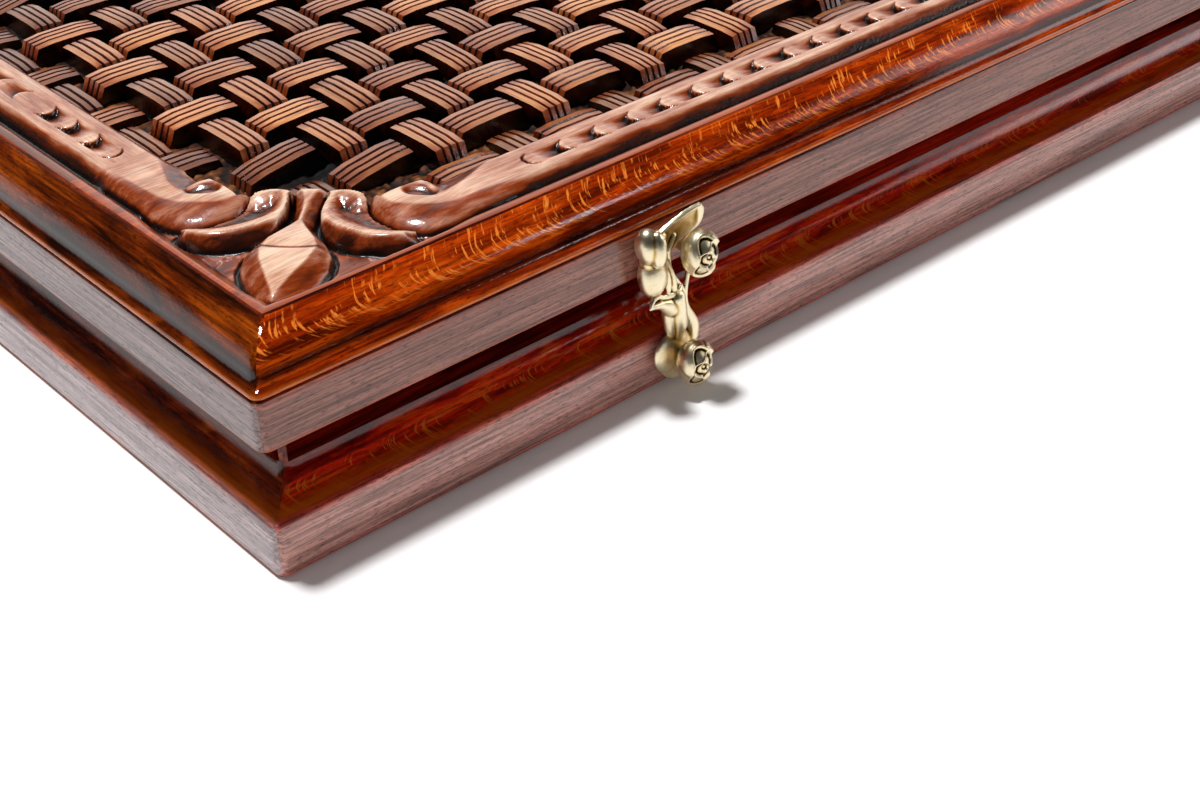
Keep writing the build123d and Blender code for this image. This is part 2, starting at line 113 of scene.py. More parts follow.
def new_finish(name):
    """An empty material with its shader and output, ready for a finish."""
    finish = bpy.data.materials.new(name)
    finish.use_nodes = True
    tree = finish.node_tree
    tree.nodes.clear()
    shader = add_node(tree, "ShaderNodeBsdfPrincipled")
    add_node(tree, "ShaderNodeOutputMaterial", {"Surface": shader.outputs[0]})
    return finish, tree, shader


print("mid grey, #808080, is", round(hex_colour("#808080")[0], 3), "in linear light")

# %% [markdown]
# The case is European beech: dense, pale, with short dark pores a millimetre or two long and broad
# shiny ray flecks. It was stained red-brown and lacquered, so the eye sees three layers: a slow
# figure of dark and light, fine streaks along the grain, and a clear coat that mirrors the room.
# The grain follows each piece, so a mitre shows where two directions meet. Every lacquered wood is
# built up this way, so one function makes them all, and only sizes and colours differ.

# %% The stained beech under its lacquer
def along_grain(tree, grain, length, width, shift=0.0):
    """Coordinates that run once per `length` mm along the grain and `width` mm across it."""
    turn = math.pi / 2 if grain == "Y" else 0.0
    spot = add_node(tree, "ShaderNodeTexCoord")
    turned = add_node(tree, "ShaderNodeMapping", {
        "Vector": spot.outputs["Object"], "Rotation": (0, 0, turn),
        "Location": (shift, shift, 0)})
    return add_node(tree, "ShaderNodeMapping", {
        "Vector": turned.outputs[0],
        "Scale": (1000 / length, 1000 / width, 1000 / width)}).outputs[0]


def grain_pattern(tree, grain, length, width, shift=0.0, **settings):
    """A soft random pattern along the grain, with spots of `length` by `width` mm."""
    return add_node(tree, "ShaderNodeTexNoise", {
        "Vector": along_grain(tree, grain, length, width, shift),
        "Scale": 1.0, **settings}).outputs["Fac"]


# Heights are read off one ramp, which runs from the table to just above the case.
ramp_height = 70.0


def height_band(tree, levels):
    """1 at the given heights in mm and 0 between them: (height, spread, strength) each."""
    spot = add_node(tree, "ShaderNodeTexCoord")
    parts = add_node(tree, "ShaderNodeSeparateXYZ", {"Vector": spot.outputs["Object"]})
    level = add_node(tree, "ShaderNodeMath", {0: parts.outputs["Z"], 1: 1000 / ramp_height},
                     operation="MULTIPLY")
    stops = [(0.0, 0.0), (1.0, 0.0)]
    for height, spread, strength in levels:
        stops += [((height - spread) / ramp_height, 0.0), (height / ramp_height, strength),
                  ((height + spread) / ramp_height, 0.0)]
    ramp = add_node(tree, "ShaderNodeValToRGB", {"Fac": level.outputs[0]}, stops=stops)
    return ramp.outputs["Color"]


def lacquered_wood(name, grain, dark, middle, bright, shift=0.0, figure=(90, 9), roughness=0.3,
                   worn=None, shade_bands=None, even_sheen=None, even_sheen_colour=None, coat=1.0):
    """Planed wood under brushed lacquer; returns the finish and its colour socket.

    The figure is the size in mm of its slow dark and bright patches, along and across the grain.
    Worn, sunk and calm are height bands: rubbed through, painted shade, and a painted reflection."""
    finish, tree, shader = new_finish(name)
    slow = grain_pattern(tree, grain, *figure, shift, Detail=4.0, Roughness=0.6, Distortion=0.8)
    body = add_node(tree, "ShaderNodeValToRGB", {"Fac": slow},
                    stops=[(0.36, dark), (0.64, bright), (0.5, middle)])
    base = body.outputs["Color"]
    if even_sheen:
        # Painted reflection: the upright bands get one even, paler colour, the white floor in their
        # lacquer.
        even = add_node(tree, "ShaderNodeMix", {
            0: height_band(tree, even_sheen), 6: base, 7: hex_colour(even_sheen_colour)}, data_type="RGBA")
        base = even.outputs[2]
    # Streaks are 0.7 mm wide, the width of the fine lines seen on the band faces.
    streak = grain_pattern(tree, grain, 24, 0.7, shift, Detail=3.0)
    shade = add_node(tree, "ShaderNodeMapRange", {
        "Value": streak, "From Min": 0.34, "From Max": 0.66, "To Min": 0.5, "To Max": 1.42})
    toned = add_node(tree, "ShaderNodeMix", {0: 1.0, 6: base, 7: shade.outputs[0]},
                     data_type="RGBA", blend_type="MULTIPLY")
    # Pores are dashes 2 mm long and 0.3 mm wide.
    dashes = grain_pattern(tree, grain, 2.2, 0.34, shift, Detail=1.0)
    pores = add_node(tree, "ShaderNodeMapRange", {
        "Value": dashes, "From Min": 0.58, "From Max": 0.68, "To Min": 0.0, "To Max": 0.6})
    pored = add_node(tree, "ShaderNodeMix", {
        0: pores.outputs[0], 6: toned.outputs[2], 7: hex_colour("#1E0803")}, data_type="RGBA")
    colour = pored.outputs[2]
    if worn:
        # The stain was rubbed through a little on the edges, where the wood shows orange.
        scuffs = grain_pattern(tree, grain, 14, 3, shift, Detail=4.0)
        patch = add_node(tree, "ShaderNodeMapRange", {
            "Value": scuffs, "From Min": 0.35, "From Max": 0.6, "To Min": 0.3, "To Max": 1.0})
        amount = add_node(tree, "ShaderNodeMath", {
            0: height_band(tree, worn), 1: patch.outputs[0]}, operation="MULTIPLY")
        rubbed_and_shade = add_node(tree, "ShaderNodeMix", {
            0: amount.outputs[0], 6: colour, 7: hex_colour("#E06C14")}, data_type="RGBA")
        colour = rubbed_and_shade.outputs[2]
    if shade_bands:
        # Painted shade: the quirks, coves and neck are darkened towards near black, where shade
        # falls.
        painted_dark = add_node(tree, "ShaderNodeMix", {
            0: height_band(tree, shade_bands), 6: colour, 7: hex_colour("#1C0302")}, data_type="RGBA")
        colour = painted_dark.outputs[2]
    tree.links.new(colour, shader.inputs["Base Color"])
    # Brushed lacquer settles with a faint orange peel; pores under it break a glint into sparks.
    peel = grain_pattern(tree, grain, 1.4, 0.8, shift, Detail=3.0, Roughness=0.65)
    skin = add_node(tree, "ShaderNodeBump", {"Strength": 0.8, "Distance": 0.00006, "Height": peel})
    ribs = add_node(tree, "ShaderNodeBump", {
        "Strength": 0.4, "Distance": 0.00005, "Height": streak, "Normal": skin.outputs[0]})
    tree.links.new(ribs.outputs[0], shader.inputs["Normal"])
    tree.links.new(skin.outputs[0], shader.inputs["Coat Normal"])
    # The lacquer does all the mirroring, so the wood under it has no gloss of its own.
    shader.inputs["Roughness"].default_value = roughness
    shader.inputs["IOR"].default_value = 1.5
    shader.inputs["Specular IOR Level"].default_value = 0.0
    shader.inputs["Coat Weight"].default_value = coat
    shader.inputs["Coat IOR"].default_value = 1.52
    shader.inputs["Coat Roughness"].default_value = 0.07
    return finish, colour


print("a height band turns", round(1 / mm), "mm into", round(1 / mm / ramp_height, 2), "ramps")

# %% [markdown]
# Ray flecks are what gives beech away: where the saw ran square to the rings, shiny crescents stand
# side by side along the moulding. They are drawn as thin lines across the grain in a space that
# bows, and a slow pattern decides where they gather.
#
# Each rail then gets a finish of its own, because its grain runs its own way and the stain took
# differently on the front and on the end.

# %% Ray flecks, and the finish of each rail
def ray_flecks(finish, colour, low, high, bow, fleck):
    """Lay beech's crescent ray flecks over a moulding between two heights, bowing along X."""
    tree = finish.node_tree
    shader = next(n for n in tree.nodes if n.type == "BSDF_PRINCIPLED")
    spot = add_node(tree, "ShaderNodeTexCoord")
    parts = add_node(tree, "ShaderNodeSeparateXYZ", {"Vector": spot.outputs["Object"]})
    middle = (low + high) / 2
    lift = add_node(tree, "ShaderNodeMath", {0: parts.outputs["Z"], 1: middle * mm},
                    operation="SUBTRACT")
    square = add_node(tree, "ShaderNodeMath", {0: lift.outputs[0], 1: lift.outputs[0]},
                      operation="MULTIPLY")
    bent = add_node(tree, "ShaderNodeMath", {
        0: square.outputs[0], 1: -bow / mm, 2: parts.outputs["X"]}, operation="MULTIPLY_ADD")
    lane = add_node(tree, "ShaderNodeCombineXYZ", {"X": bent.outputs[0], "Z": parts.outputs["Z"]})
    # Crescents about 1.2 mm apart, each a third of a millimetre thick and up to 4 mm tall.
    fine = add_node(tree, "ShaderNodeMapping", {"Vector": lane.outputs[0], "Scale": (820, 1, 260)})
    lines = add_node(tree, "ShaderNodeTexNoise", {
        "Vector": fine.outputs[0], "Scale": 1.0, "Detail": 3.0, "Roughness": 0.6,
        "Distortion": 0.2})
    crest = add_node(tree, "ShaderNodeMapRange", {
        "Value": lines.outputs["Fac"], "From Min": 0.54, "From Max": 0.6})
    # They gather in clumps about 9 mm long.
    wide = add_node(tree, "ShaderNodeMapping", {"Vector": lane.outputs[0], "Scale": (110, 1, 260)})
    clump = add_node(tree, "ShaderNodeTexNoise", {
        "Vector": wide.outputs[0], "Scale": 1.0, "Detail": 3.0})
    here = add_node(tree, "ShaderNodeMapRange", {
        "Value": clump.outputs["Fac"], "From Min": 0.42, "From Max": 0.52})
    band = height_band(tree, [(middle, (high - low) / 2, 1.8)])
    once = add_node(tree, "ShaderNodeMath", {0: crest.outputs[0], 1: here.outputs[0]},
                    operation="MULTIPLY")
    shown = add_node(tree, "ShaderNodeMath", {0: once.outputs[0], 1: band},
                     operation="MULTIPLY", use_clamp=True)
    flecked = add_node(tree, "ShaderNodeMix", {
        0: shown.outputs[0], 6: colour, 7: hex_colour(fleck)}, data_type="RGBA")
    tree.links.new(flecked.outputs[2], shader.inputs["Base Color"])


# The bead and lower edge of the lid are worn; its quirks, small hollow and neck get painted
# shade, and its band a painted reflection.
lid_bands = {"worn": [(52.0, 0.9, 1.2), (37.4, 0.5, 0.5)],
             "shade_bands": [(50.9, 0.35, 0.6), (55.2, 2.6, 0.95), (35.0, 2.0, 0.8)],
             "even_sheen": [(43.8, 7.6, 3.0)]}
# The base is worn along its shelf's edge and its foot; its cove and neck get painted shade,
# and its band a painted reflection.
base_bands = {"worn": [(16.7, 0.8, 1.3), (0.7, 0.7, 0.9)], "shade_bands": [(27.5, 8.5, 1.5)],
              "even_sheen": [(8.0, 8.6, 3.0)]}
# The band colours below are painted reflections of the white floor, greyer on the ends than on the
# front.
lid_long, lid_long_colour = lacquered_wood(
    "stained_beech_lid_long", "X", "#641600", "#A42E00", "#CE4C06", figure=(26, 3.0),
    even_sheen_colour="#A46E60", **lid_bands)
ray_flecks(lid_long, lid_long_colour, 57.5, 66.5, 0.3, "#FF8A30")
lid_short, _ = lacquered_wood(
    "stained_beech_lid_short", "Y", "#280A00", "#682402", "#A04608", shift=0.31, figure=(40, 9),
    even_sheen_colour="#A08886", **lid_bands)
base_long, base_long_colour = lacquered_wood(
    "stained_beech_base_long", "X", "#8E1003", "#E82604", "#FF5C10", shift=0.17, figure=(22, 3.5),
    even_sheen_colour="#D69C90", **base_bands)
ray_flecks(base_long, base_long_colour, 16.0, 19.5, 0.9, "#F07820")
base_short, _ = lacquered_wood(
    "stained_beech_base_short", "Y", "#4A1204", "#94300A", "#CC5A14", shift=0.53, figure=(26, 5),
    even_sheen_colour="#C2ACAE", **base_bands)
# The neck behind the lid's overhang was stained but got no lacquer, so it mirrors nothing; its
# colours are darker than the rails', painted shade under the overhang.
bare_neck_painted_shade, _ = lacquered_wood(
    "bare_stained_neck_painted_shade", "X", "#2C0402", "#5C0C05", "#82180A", roughness=0.85, coat=0.0)
# The back rails, the rims and the inner faces are plain wood, stained the same.
plain_shades = ("#36100A", "#74260C", "#A64618")
plain_long, _ = lacquered_wood(
    "stained_beech_plain_long", "X", *plain_shades, shift=0.71, figure=(70, 7), coat=0.7)
plain_short, _ = lacquered_wood(
    "stained_beech_plain_short", "Y", *plain_shades, shift=0.87, figure=(70, 7), coat=0.7)
print("beech finishes:", [m.name for m in bpy.data.materials if "beech" in m.name])

# %% [markdown]
# A moulding like this is one section planed along a whole stick, so the section comes first. Its
# numbers are the case's own, as depth and height in mm: upright band, shelf, cove and neck on the
# base; neck, band, bead, hollow and bulge on the lid. The rounds are arcs, because planes and
# router bits cut true circles.

# %% Sections of the two mouldings
def arc(centre, radius, start, stop, steps):
    """Points on an arc, angles in degrees."""
    turns = [math.radians(start + (stop - start) * k / steps) for k in range(steps + 1)]
    return [(centre[0] + radius * math.cos(t), centre[1] + radius * math.sin(t)) for t in turns]


def arc_through(a, b, c, steps):
    """Points on the arc from a to c that passes through b."""
    d = 2 * (a[0] * (b[1] - c[1]) + b[0] * (c[1] - a[1]) + c[0] * (a[1] - b[1]))
    sa, sb, sc = (q[0]**2 + q[1]**2 for q in (a, b, c))
    x = (sa * (b[1] - c[1]) + sb * (c[1] - a[1]) + sc * (a[1] - b[1])) / d
    y = (sa * (c[0] - b[0]) + sb * (a[0] - c[0]) + sc * (b[0] - a[0])) / d
    start, stop = (math.degrees(math.atan2(q[1] - y, q[0] - x)) for q in (a, c))
    stop -= 360 * round((stop - start) / 360)
    return arc((x, y), math.hypot(a[0] - x, a[1] - y), start, stop, steps)


base_band = arc((1.8, 1.8), 1.8, 270, 180, 5) + arc((1.0, 15.0), 1.0, 180, 90, 4)
base_cove = arc((3.5, 24.0), 7.0, -90, 0, 12)
base_neck = [(10.5, 28.4), (10.5, 33.0), (10.8, 33.35), (22.0, 33.35), (22.0, 8.0), (12.0, 8.0),
             (12.0, 0.0)]
base_section = base_band + base_cove + base_neck
lid_band = [(22.0, 33.65), (10.8, 33.65), (10.5, 33.9), (10.5, 37.0), (0.35, 37.0), (0.0, 37.35),
            (0.0, 50.7), (0.25, 51.0), (0.6, 51.05)]
lid_bead = arc((1.4, 52.0), 1.28, 225, 135, 6)
lid_hollow = arc((-0.65, 56.0), 3.25, -62, 0, 6)
lid_bulge = arc_through((2.6, 56.0), (6.07, 62.16), (11.5, 65.2), 16)[1:]
lid_section = lid_band + lid_bead + lid_hollow + lid_bulge + [(11.5, 55.0), (22.0, 55.0)]
print("section points:", len(base_section), "for the base,", len(lid_section), "for the lid")

# %% [markdown]
# The stick is then mitred, and it is modelled the same way. A circle of points is moved onto the
# section, and the face is extruded along the rail in steps: short ones near the ends, where the
# corners need points to bend with. The ends are slid to the mitre, and sanded round where two rails
# meet. The back rails are flat and plain, so the loaded ones only get the plain finish.

# %% Plane, mitre and sand the rails
mitre_round = 2.6
end_steps = [0.0, 0.35, 0.8, 1.4, 2.0, mitre_round, 4.0]
# Depths in mm from the rail's face: sanded to here, unlacquered from here, and plain from here.
sanded_depth, neck_depth, plain_depth = 11.55, 10.2, 10.75
neck_low, neck_high = 24.0, 37.05


def face_outwards(smooth_angle):
    """Turn the active piece's faces outwards, and smooth its edges below an angle in degrees."""
    bpy.ops.object.mode_set(mode="EDIT")
    bpy.ops.mesh.select_all(action="SELECT")
    bpy.ops.mesh.normals_make_consistent(inside=False)
    bpy.ops.object.mode_set(mode="OBJECT")
    bpy.ops.object.shade_smooth_by_angle(angle=math.radians(smooth_angle))


def moulded_rail(node, name, section, side, finish, body):
    """One rail of the case, planed to a section, mitred at both ends and sanded round there."""
    long_side = side in ("front", "back")
    length = case_length if long_side else case_width
    stations = end_steps + [length - step for step in reversed(end_steps)]
    bpy.ops.object.select_all(action="DESELECT")
    bpy.ops.mesh.primitive_circle_add(vertices=len(section), radius=0.01, fill_type="NGON")
    rail = bpy.context.object
    rail.name = name
    for vertex, (depth, height) in zip(rail.data.vertices, section):
        vertex.co = (0, depth * mm, height * mm)
    bpy.ops.object.mode_set(mode="EDIT")
    bpy.ops.mesh.select_all(action="SELECT")
    for start, stop in zip(stations, stations[1:]):
        bpy.ops.mesh.extrude_region_move(
            TRANSFORM_OT_translate={"value": ((stop - start) * mm, 0, 0)})
    bpy.ops.object.mode_set(mode="OBJECT")
    for vertex in rail.data.vertices:
        along, depth, height = (c / mm for c in vertex.co)
        from_end = min(along, length - along)
        slide = depth if from_end < length / 2 - 1 else 0
        sink = 0.0
        if depth < sanded_depth and from_end < mitre_round:
            bend = math.radians(45) * (1 - from_end / mitre_round)
            slide += mitre_round * (1 - math.sin(bend)) - from_end
            sink = mitre_round * (1 - math.cos(bend))
        along = along + slide if along < length / 2 else along - slide
        depth += sink
        if side in ("back", "right"):
            depth = (case_width if long_side else case_length) - depth
        vertex.co = place(along, depth, height) if long_side else place(depth, along, height)
    face_outwards(38)
    for layer in (finish, bare_neck_painted_shade, plain_long if long_side else plain_short):
        rail.data.materials.append(layer)
    for face in rail.data.polygons:
        height = face.center.z / mm
        outer = face.center.y if long_side else face.center.x
        depth = (case_width if long_side else case_length) / 2 - abs(outer) / mm
        if depth > plain_depth:
            face.material_index = 2
        elif depth > neck_depth and neck_low < height < neck_high:
            face.material_index = 1
    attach(rail, body)
    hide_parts(node)
    return rail


for side in ("front", "left", "right"):
    lid_finish, base_finish = (lid_long, base_long) if side == "front" else (lid_short, base_short)
    moulded_rail(f"lid_{side}_rail", f"moulded_lid_{side}", lid_section, side, lid_finish, "lid")
    rail = moulded_rail(f"base_{side}_rail", f"moulded_base_{side}", base_section, side,
                        base_finish, "base")
    print(rail.name, len(rail.data.polygons), "faces")
for name in ("lid_back_rail", "base_back_rail"):
    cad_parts[name].data.materials[0] = plain_long

# %% [markdown]
# The carved board is cut in relief: nothing on it is undercut, so one height belongs to every spot.
# That makes a fine grid the right blank for it. Each patch of the board starts as a grid primitive
# of its own size, and a height rule then carves it, as a carver lowers the ground round a drawn
# line. The rule needs two tools: the distance to a drawn outline, and a soft step between levels.

# %% Carver's tools
def between(a, b, c, d, t):
    """The point a share t of the way from b to c on a smooth curve through a, b, c and d."""
    return 0.5 * (2 * b + (c - a) * t + (2 * a - 5 * b + 4 * c - d) * t**2
                  + (3 * b - a - 3 * c + d) * t**3)


def smooth_outline(corners, steps=8):
    """A closed outline through the given corners, rounded between them."""
    points = np.array(corners, float)
    before, after, beyond = (np.roll(points, turn, 0) for turn in (1, -1, -2))
    out = [between(before, points, after, beyond, t) for t in np.arange(steps) / steps]
    return np.stack(out, 1).reshape(-1, 2)


def smooth_path(corners, steps=8):
    """An open line through the given corners, each with its half width, rounded between them."""
    points = np.array(corners, float)
    points = np.vstack([2 * points[0] - points[1], points, 2 * points[-1] - points[-2]])
    out = [between(*points[i - 1:i + 3], t)
           for i in range(1, len(points) - 2) for t in np.arange(steps) / steps]
    out.append(points[-2])
    return np.array(out)


def inside_distance(x, y, outline):
    """Distance in mm to a closed outline, positive inside it."""
    best = np.full(x.shape, 1e9)
    inside = np.zeros(x.shape, bool)
    for (ax, ay), (bx, by) in zip(outline, np.roll(outline, -1, 0)):
        run_x, run_y = bx - ax, by - ay
        length = run_x**2 + run_y**2 + 1e-12
        t = np.clip(((x - ax) * run_x + (y - ay) * run_y) / length, 0, 1)
        best = np.minimum(best, (x - ax - t * run_x) ** 2 + (y - ay - t * run_y) ** 2)
        crosses = (ay > y) != (by > y)
        with np.errstate(divide="ignore", invalid="ignore"):
            inside ^= crosses & (x < ax + (y - ay) * run_x / (by - ay if by != ay else 1e-12))
    return np.where(inside, 1, -1) * np.sqrt(best)


def ribbon_distance(x, y, path):
    """Distance in mm beyond the edge of a ribbon whose half width changes along it."""
    best = np.full(x.shape, 1e9)
    for (ax, ay, aw), (bx, by, bw) in zip(path[:-1], path[1:]):
        run_x, run_y = bx - ax, by - ay
        t = np.clip(((x - ax) * run_x + (y - ay) * run_y) / (run_x**2 + run_y**2 + 1e-12), 0, 1)
        off = np.hypot(x - ax - t * run_x, y - ay - t * run_y)
        best = np.minimum(best, off - (aw + t * (bw - aw)))
    return best


def soft_step(value, low, high):
    """0 below low, 1 above high, with a smooth ease between."""
    t = np.clip((value - low) / (high - low), 0, 1)
    return t * t * (3 - 2 * t)


def lumps(x, y, size, seed):
    """Smooth seeded unevenness between -1 and 1 with lumps of about `size` mm."""
    rng = np.random.default_rng(seed)
    total = np.zeros(x.shape)
    for octave in range(3):
        for _ in range(5):
            angle, phase = rng.uniform(0, 2 * math.pi, 2)
            wave = 2 * math.pi / (size * rng.uniform(0.7, 1.6)) * 1.9**octave
            along = x * math.cos(angle) + y * math.sin(angle)
            total += np.sin(along * wave + phase) / 1.8**octave
    return total / 5


print("a square rounded by its outline has",
      len(smooth_outline([(0, 0), (1, 0), (1, 1), (0, 1)])), "points")

# %% [markdown]
# The border's own section is the same all round: a flat rim beside the lid's moulding, a V groove,
# a steep slope, the flat band, and a slope down towards the weave. The band carries a chain of
# thumbnail cuts. Each is a half circle pressed in with a gouge, open away from the corner, and the
# wood in front of it is scooped down to its foot, so that the scales seem to overlap.
#
# Every rule gives two things for a spot: its height, and how pale it is, from 0 for black to 1
# for a pale crest. That value is partly stain rubbed off by a carver's rag, and partly painted
# shade in the hollows and grooves and painted highlight on the crests; the finish reads it later.

# %% Section of the border and its thumbnail cuts
# Going in from the case's edge: how far in, how high in mm, and how pale, with painted shade in
# the groove and on the slopes and a painted highlight on the flat band.
border_profile = np.array([
    (board_edge, 65.2, 0.5), (12.2, 65.3, 0.56), (13.4, 65.2, 0.56), (14.4, 64.9, 0.5),
    (15.3, 64.3, 0.3), (16.5, 62.8, 0.0), (17.1, 62.9, 0.1), (19.9, 65.7, 0.5),
    (20.8, border_top, 0.76), (33.0, border_top, 0.76), (34.2, 65.9, 0.62), (37.0, 63.4, 0.3),
    (37.6, 62.2, 0.12), (border_foot, 58.4, 0.0)])
# The gouge: where its cuts run along the band, how wide it is, how deep its edge and scoop go.
cut_middle, cut_radius, cut_edge, cut_scoop = 26.9, 3.5, 0.7, 1.7
cut_pitch = 12.1


def border_section(d):
    """Height in mm of the border, d mm in from the case's edge, and how pale it is."""
    places, heights, rubbing = border_profile.T
    return np.interp(d, places, heights), np.interp(d, places, rubbing)


def thumbnail_cuts(u, d, starts):
    """Depth in mm of a chain of cuts, u mm along the band and d mm in, and their painted shade."""
    depth, painted_dark = np.zeros(u.shape), np.zeros(u.shape)
    v = d - cut_middle
    arc_line = cut_radius - np.sqrt(np.clip(cut_radius**2 - v**2, 0, None))
    for number, start in enumerate(starts):
        # The groove and the scoop in front of it are darkened as well as cut: painted shade.
        ahead = u - start - arc_line * 1.25
        groove = np.exp(-(ahead / 0.36) ** 2) * soft_step(cut_radius - np.abs(v), 0.0, 0.7)
        depth = np.maximum(depth, cut_edge * groove)
        painted_dark = np.maximum(painted_dark, groove)
        if number > 0:
            scoop_start = starts[number - 1] + 4.2
            back = np.clip((u - scoop_start) / (start - scoop_start), 0, None)
            across = np.clip(1 - (v / (cut_radius * 0.92)) ** 2, 0, None) ** 0.7
            scoop = back**0.9 * across * (ahead < 0)
            depth = np.maximum(depth, cut_scoop * scoop)
            painted_dark = np.maximum(painted_dark, 0.75 * scoop**1.4)
    return depth, painted_dark


long_starts = [101.5 + cut_pitch * k for k in range(16)]
short_starts = [104.3 + cut_pitch * k for k in range(4)]
print("cuts from each corner:", len(long_starts), "along the long side,",
      len(short_starts), "along the short side")

# %% [markdown]
# Below the border lies the ground that the chisel left. A carver can't smooth it between the
# straps, so it stays rough: facets of three sizes, the smallest under 2 mm. It is painted pale near
# the border and black under the weave, painted shade, and its proud facets a little paler.

# %% The chopped ground
def chopped_ground(x, y, edge):
    """Height of the ground and how pale it is, `edge` mm in from the border."""
    facets = (0.8 * lumps(x, y, 7.5, 3) + 0.45 * np.abs(lumps(x, y, 3.4, 4))
              + 0.22 * lumps(x, y, 1.7, 8))
    # Painted shade: darker the farther in under the weave; proud facets are painted paler.
    proud = 0.32 * facets * np.interp(edge, [0, 25], [1, 0.15])
    rubbed_and_shade = np.interp(edge, [0, 3, 10, 14, 26], [0.56, 0.52, 0.42, 0.24, 0.02])
    return weave_ground - 0.2 + facets, rubbed_and_shade + proud


patch_x, patch_y = np.meshgrid(np.linspace(60, 90, 61), np.linspace(60, 90, 61))
patch = chopped_ground(patch_x, patch_y, 20)[0]
print("the ground is uneven by", round(float(np.ptp(patch)), 1), "mm")

# %% [markdown]
# A corner holds five forms. On the diagonal, a bud with three facets points at the case's corner
# and hangs on a flaring stem. Beside it on each side lies a petal, a crescent bowl with a thin
# raised lip, and then the scroll: the border narrows to a ribbon that curls round a small hollow,
# while its flank swells down to the recess. Both halves mirror each other about the diagonal, so
# only one half is drawn, as (far, near): mm from the case's end along the side, and in from the
# side. Outlines were measured on the photo from straight above.

# %% Draw the scroll and the petal
scroll_foot = smooth_outline([
    (101, 16.5), (90, 17.0), (78, 17.2), (70, 17.3), (63.5, 20.0), (59.3, 25), (58.0, 32),
    (59.8, 38.4), (64.4, 42.9), (70.5, 44.2), (76.6, 42), (80, 37.7), (86, 37.4), (101, 38.4)])
scroll_ribbon = smooth_path([
    (110, 28.0, 6.7), (99, 28.0, 6.5), (90, 26.8, 4.8), (82, 25.9, 3.2), (76, 27.0, 2.6),
    (70.8, 30.0, 2.6), (67.0, 34.4, 3.0), (67.6, 38.6, 2.4), (71.2, 40.4, 1.5),
    (74.8, 39.0, 1.1), (76.4, 35.6, 0.8), (76.0, 31.6, 0.4)])
scroll_hollow = smooth_outline([
    (69.5, 37.0), (71.6, 37.5), (74.2, 35.6), (75.9, 32.6), (75.8, 30.0), (73.4, 30.0),
    (70.8, 31.8), (69.2, 34.4)])
petal_crest = [(56.8, 19.2), (53.6, 21.4), (50.7, 25.0), (49.0, 29.4), (48.0, 34.0), (47.9, 38.6),
               (49.2, 43.4), (52.2, 47.0), (56.2, 48.3), (59.6, 46.2)]
petal_lip_widths = [0.15, 0.35, 0.5, 0.6, 0.6, 0.6, 0.6, 0.55, 0.5, 0.4]
petal_lip = smooth_path([(*spot, width) for spot, width in zip(petal_crest, petal_lip_widths)]
                        + [(61.3, 43.0, 0.3)])
petal_body = smooth_outline(petal_crest + [(61.5, 42.5), (64, 36), (64, 28), (61.5, 20.5)])
petal_foot = smooth_outline([
    (60.5, 17.4), (55.0, 17.4), (50.4, 19.4), (47.0, 23.0), (44.6, 27.2), (43.5, 31.6),
    (43.9, 36.6), (45.6, 41.8), (48.8, 46.6), (53.0, 49.8), (57.6, 50.2), (61.8, 46.8),
    (61, 38), (60, 30), (62, 22)])
print("the petal is", round(float(np.ptp(petal_foot[:, 0])), 1), "by",
      round(float(np.ptp(petal_foot[:, 1])), 1), "mm")

# %% [markdown]
# The bud is drawn along the diagonal instead: how wide it and its stem reach, how wide the flat
# facet on top is, and how high that facet runs. A dark cut crosses it where the bud meets the stem.

# %% The bud and its stem
bud_tip, stem_end = 24.6, 76.5


def bud_and_stem(x, y):
    """Height of the bud and its stem, how pale they are, and how far inside them a spot is."""
    s, w = (x + y) / math.sqrt(2), np.abs(x - y) / math.sqrt(2)
    bowed = s + 1.1 * np.clip(1 - (w / 8) ** 2, 0, 1) * np.exp(-((s - 47) / 3.0) ** 2)
    reach = np.interp(
        s, [bud_tip, 25.2, 26.6, 28.6, 31.2, 35, 40, 45, 48, 50.6, 54, 59, 64, 69, 73, stem_end],
        [0.0, 2.6, 4.6, 6.2, 7.9, 9.9, 11.4, 11.3, 10.3, 8.8, 6.4, 4.4, 3.7, 3.7, 4.2, 5.0])
    reach = np.where((s < bud_tip) | (s > stem_end), -1.0, reach)
    facet = np.interp(
        s, [26.6, 29, 32, 35, 38, 41, 44.5, 47, 47.6, 50, 54, 58, 61, 66, 70, 74, stem_end],
        [0.0, 1.0, 2.4, 3.6, 4.9, 5.9, 6.6, 6.7, 6.6, 5.6, 3.5, 1.5, 0.3, 0.2, 0.5, 1.6, 3.0])
    crown = np.interp(
        bowed, [bud_tip, 26.6, 30, 36, 42, 45.2, 47.1, 47.4, 47.7, 50.5, 55, 61, 67, 72, stem_end],
        [62.3, 63.7, 64.8, 65.7, border_top, 66.1, 65.5, 65.3, 65.5, 66.1, 65.7, 65.1, 65.2, 65.9,
         65.9])
    fall = np.clip(w - facet, 0, None)
    slope = np.interp(s, [25, 40, 47, 52, 60, 70, 76], [0.34, 0.4, 0.5, 0.8, 1.0, 0.9, 0.8])
    z = crown - slope * fall - 0.05 * fall**2
    edge = np.minimum(reach - w, np.minimum(s - bud_tip, stem_end - s))
    # Painted light: the top facet is paler, a painted highlight, and the cut across the bud and the
    # falling sides of the stem are darker, painted shade.
    crease = np.exp(-((bowed - 47.4) / 0.3) ** 2) * soft_step(8.5 - w, 0, 2)
    top = soft_step(facet - w, -0.5, 0.5)
    pale = np.interp(s, [26, 32, 57, 62, 68, 76], [0.5, 1.0, 1.0, 0.35, 0.2, 0.9])
    rubbed_and_shade = 0.5 + 0.46 * top * pale - 0.8 * crease
    rubbed_and_shade -= np.interp(fall, [0, 3], [0, 0.22]) * (s > 50)
    return z, rubbed_and_shade, edge


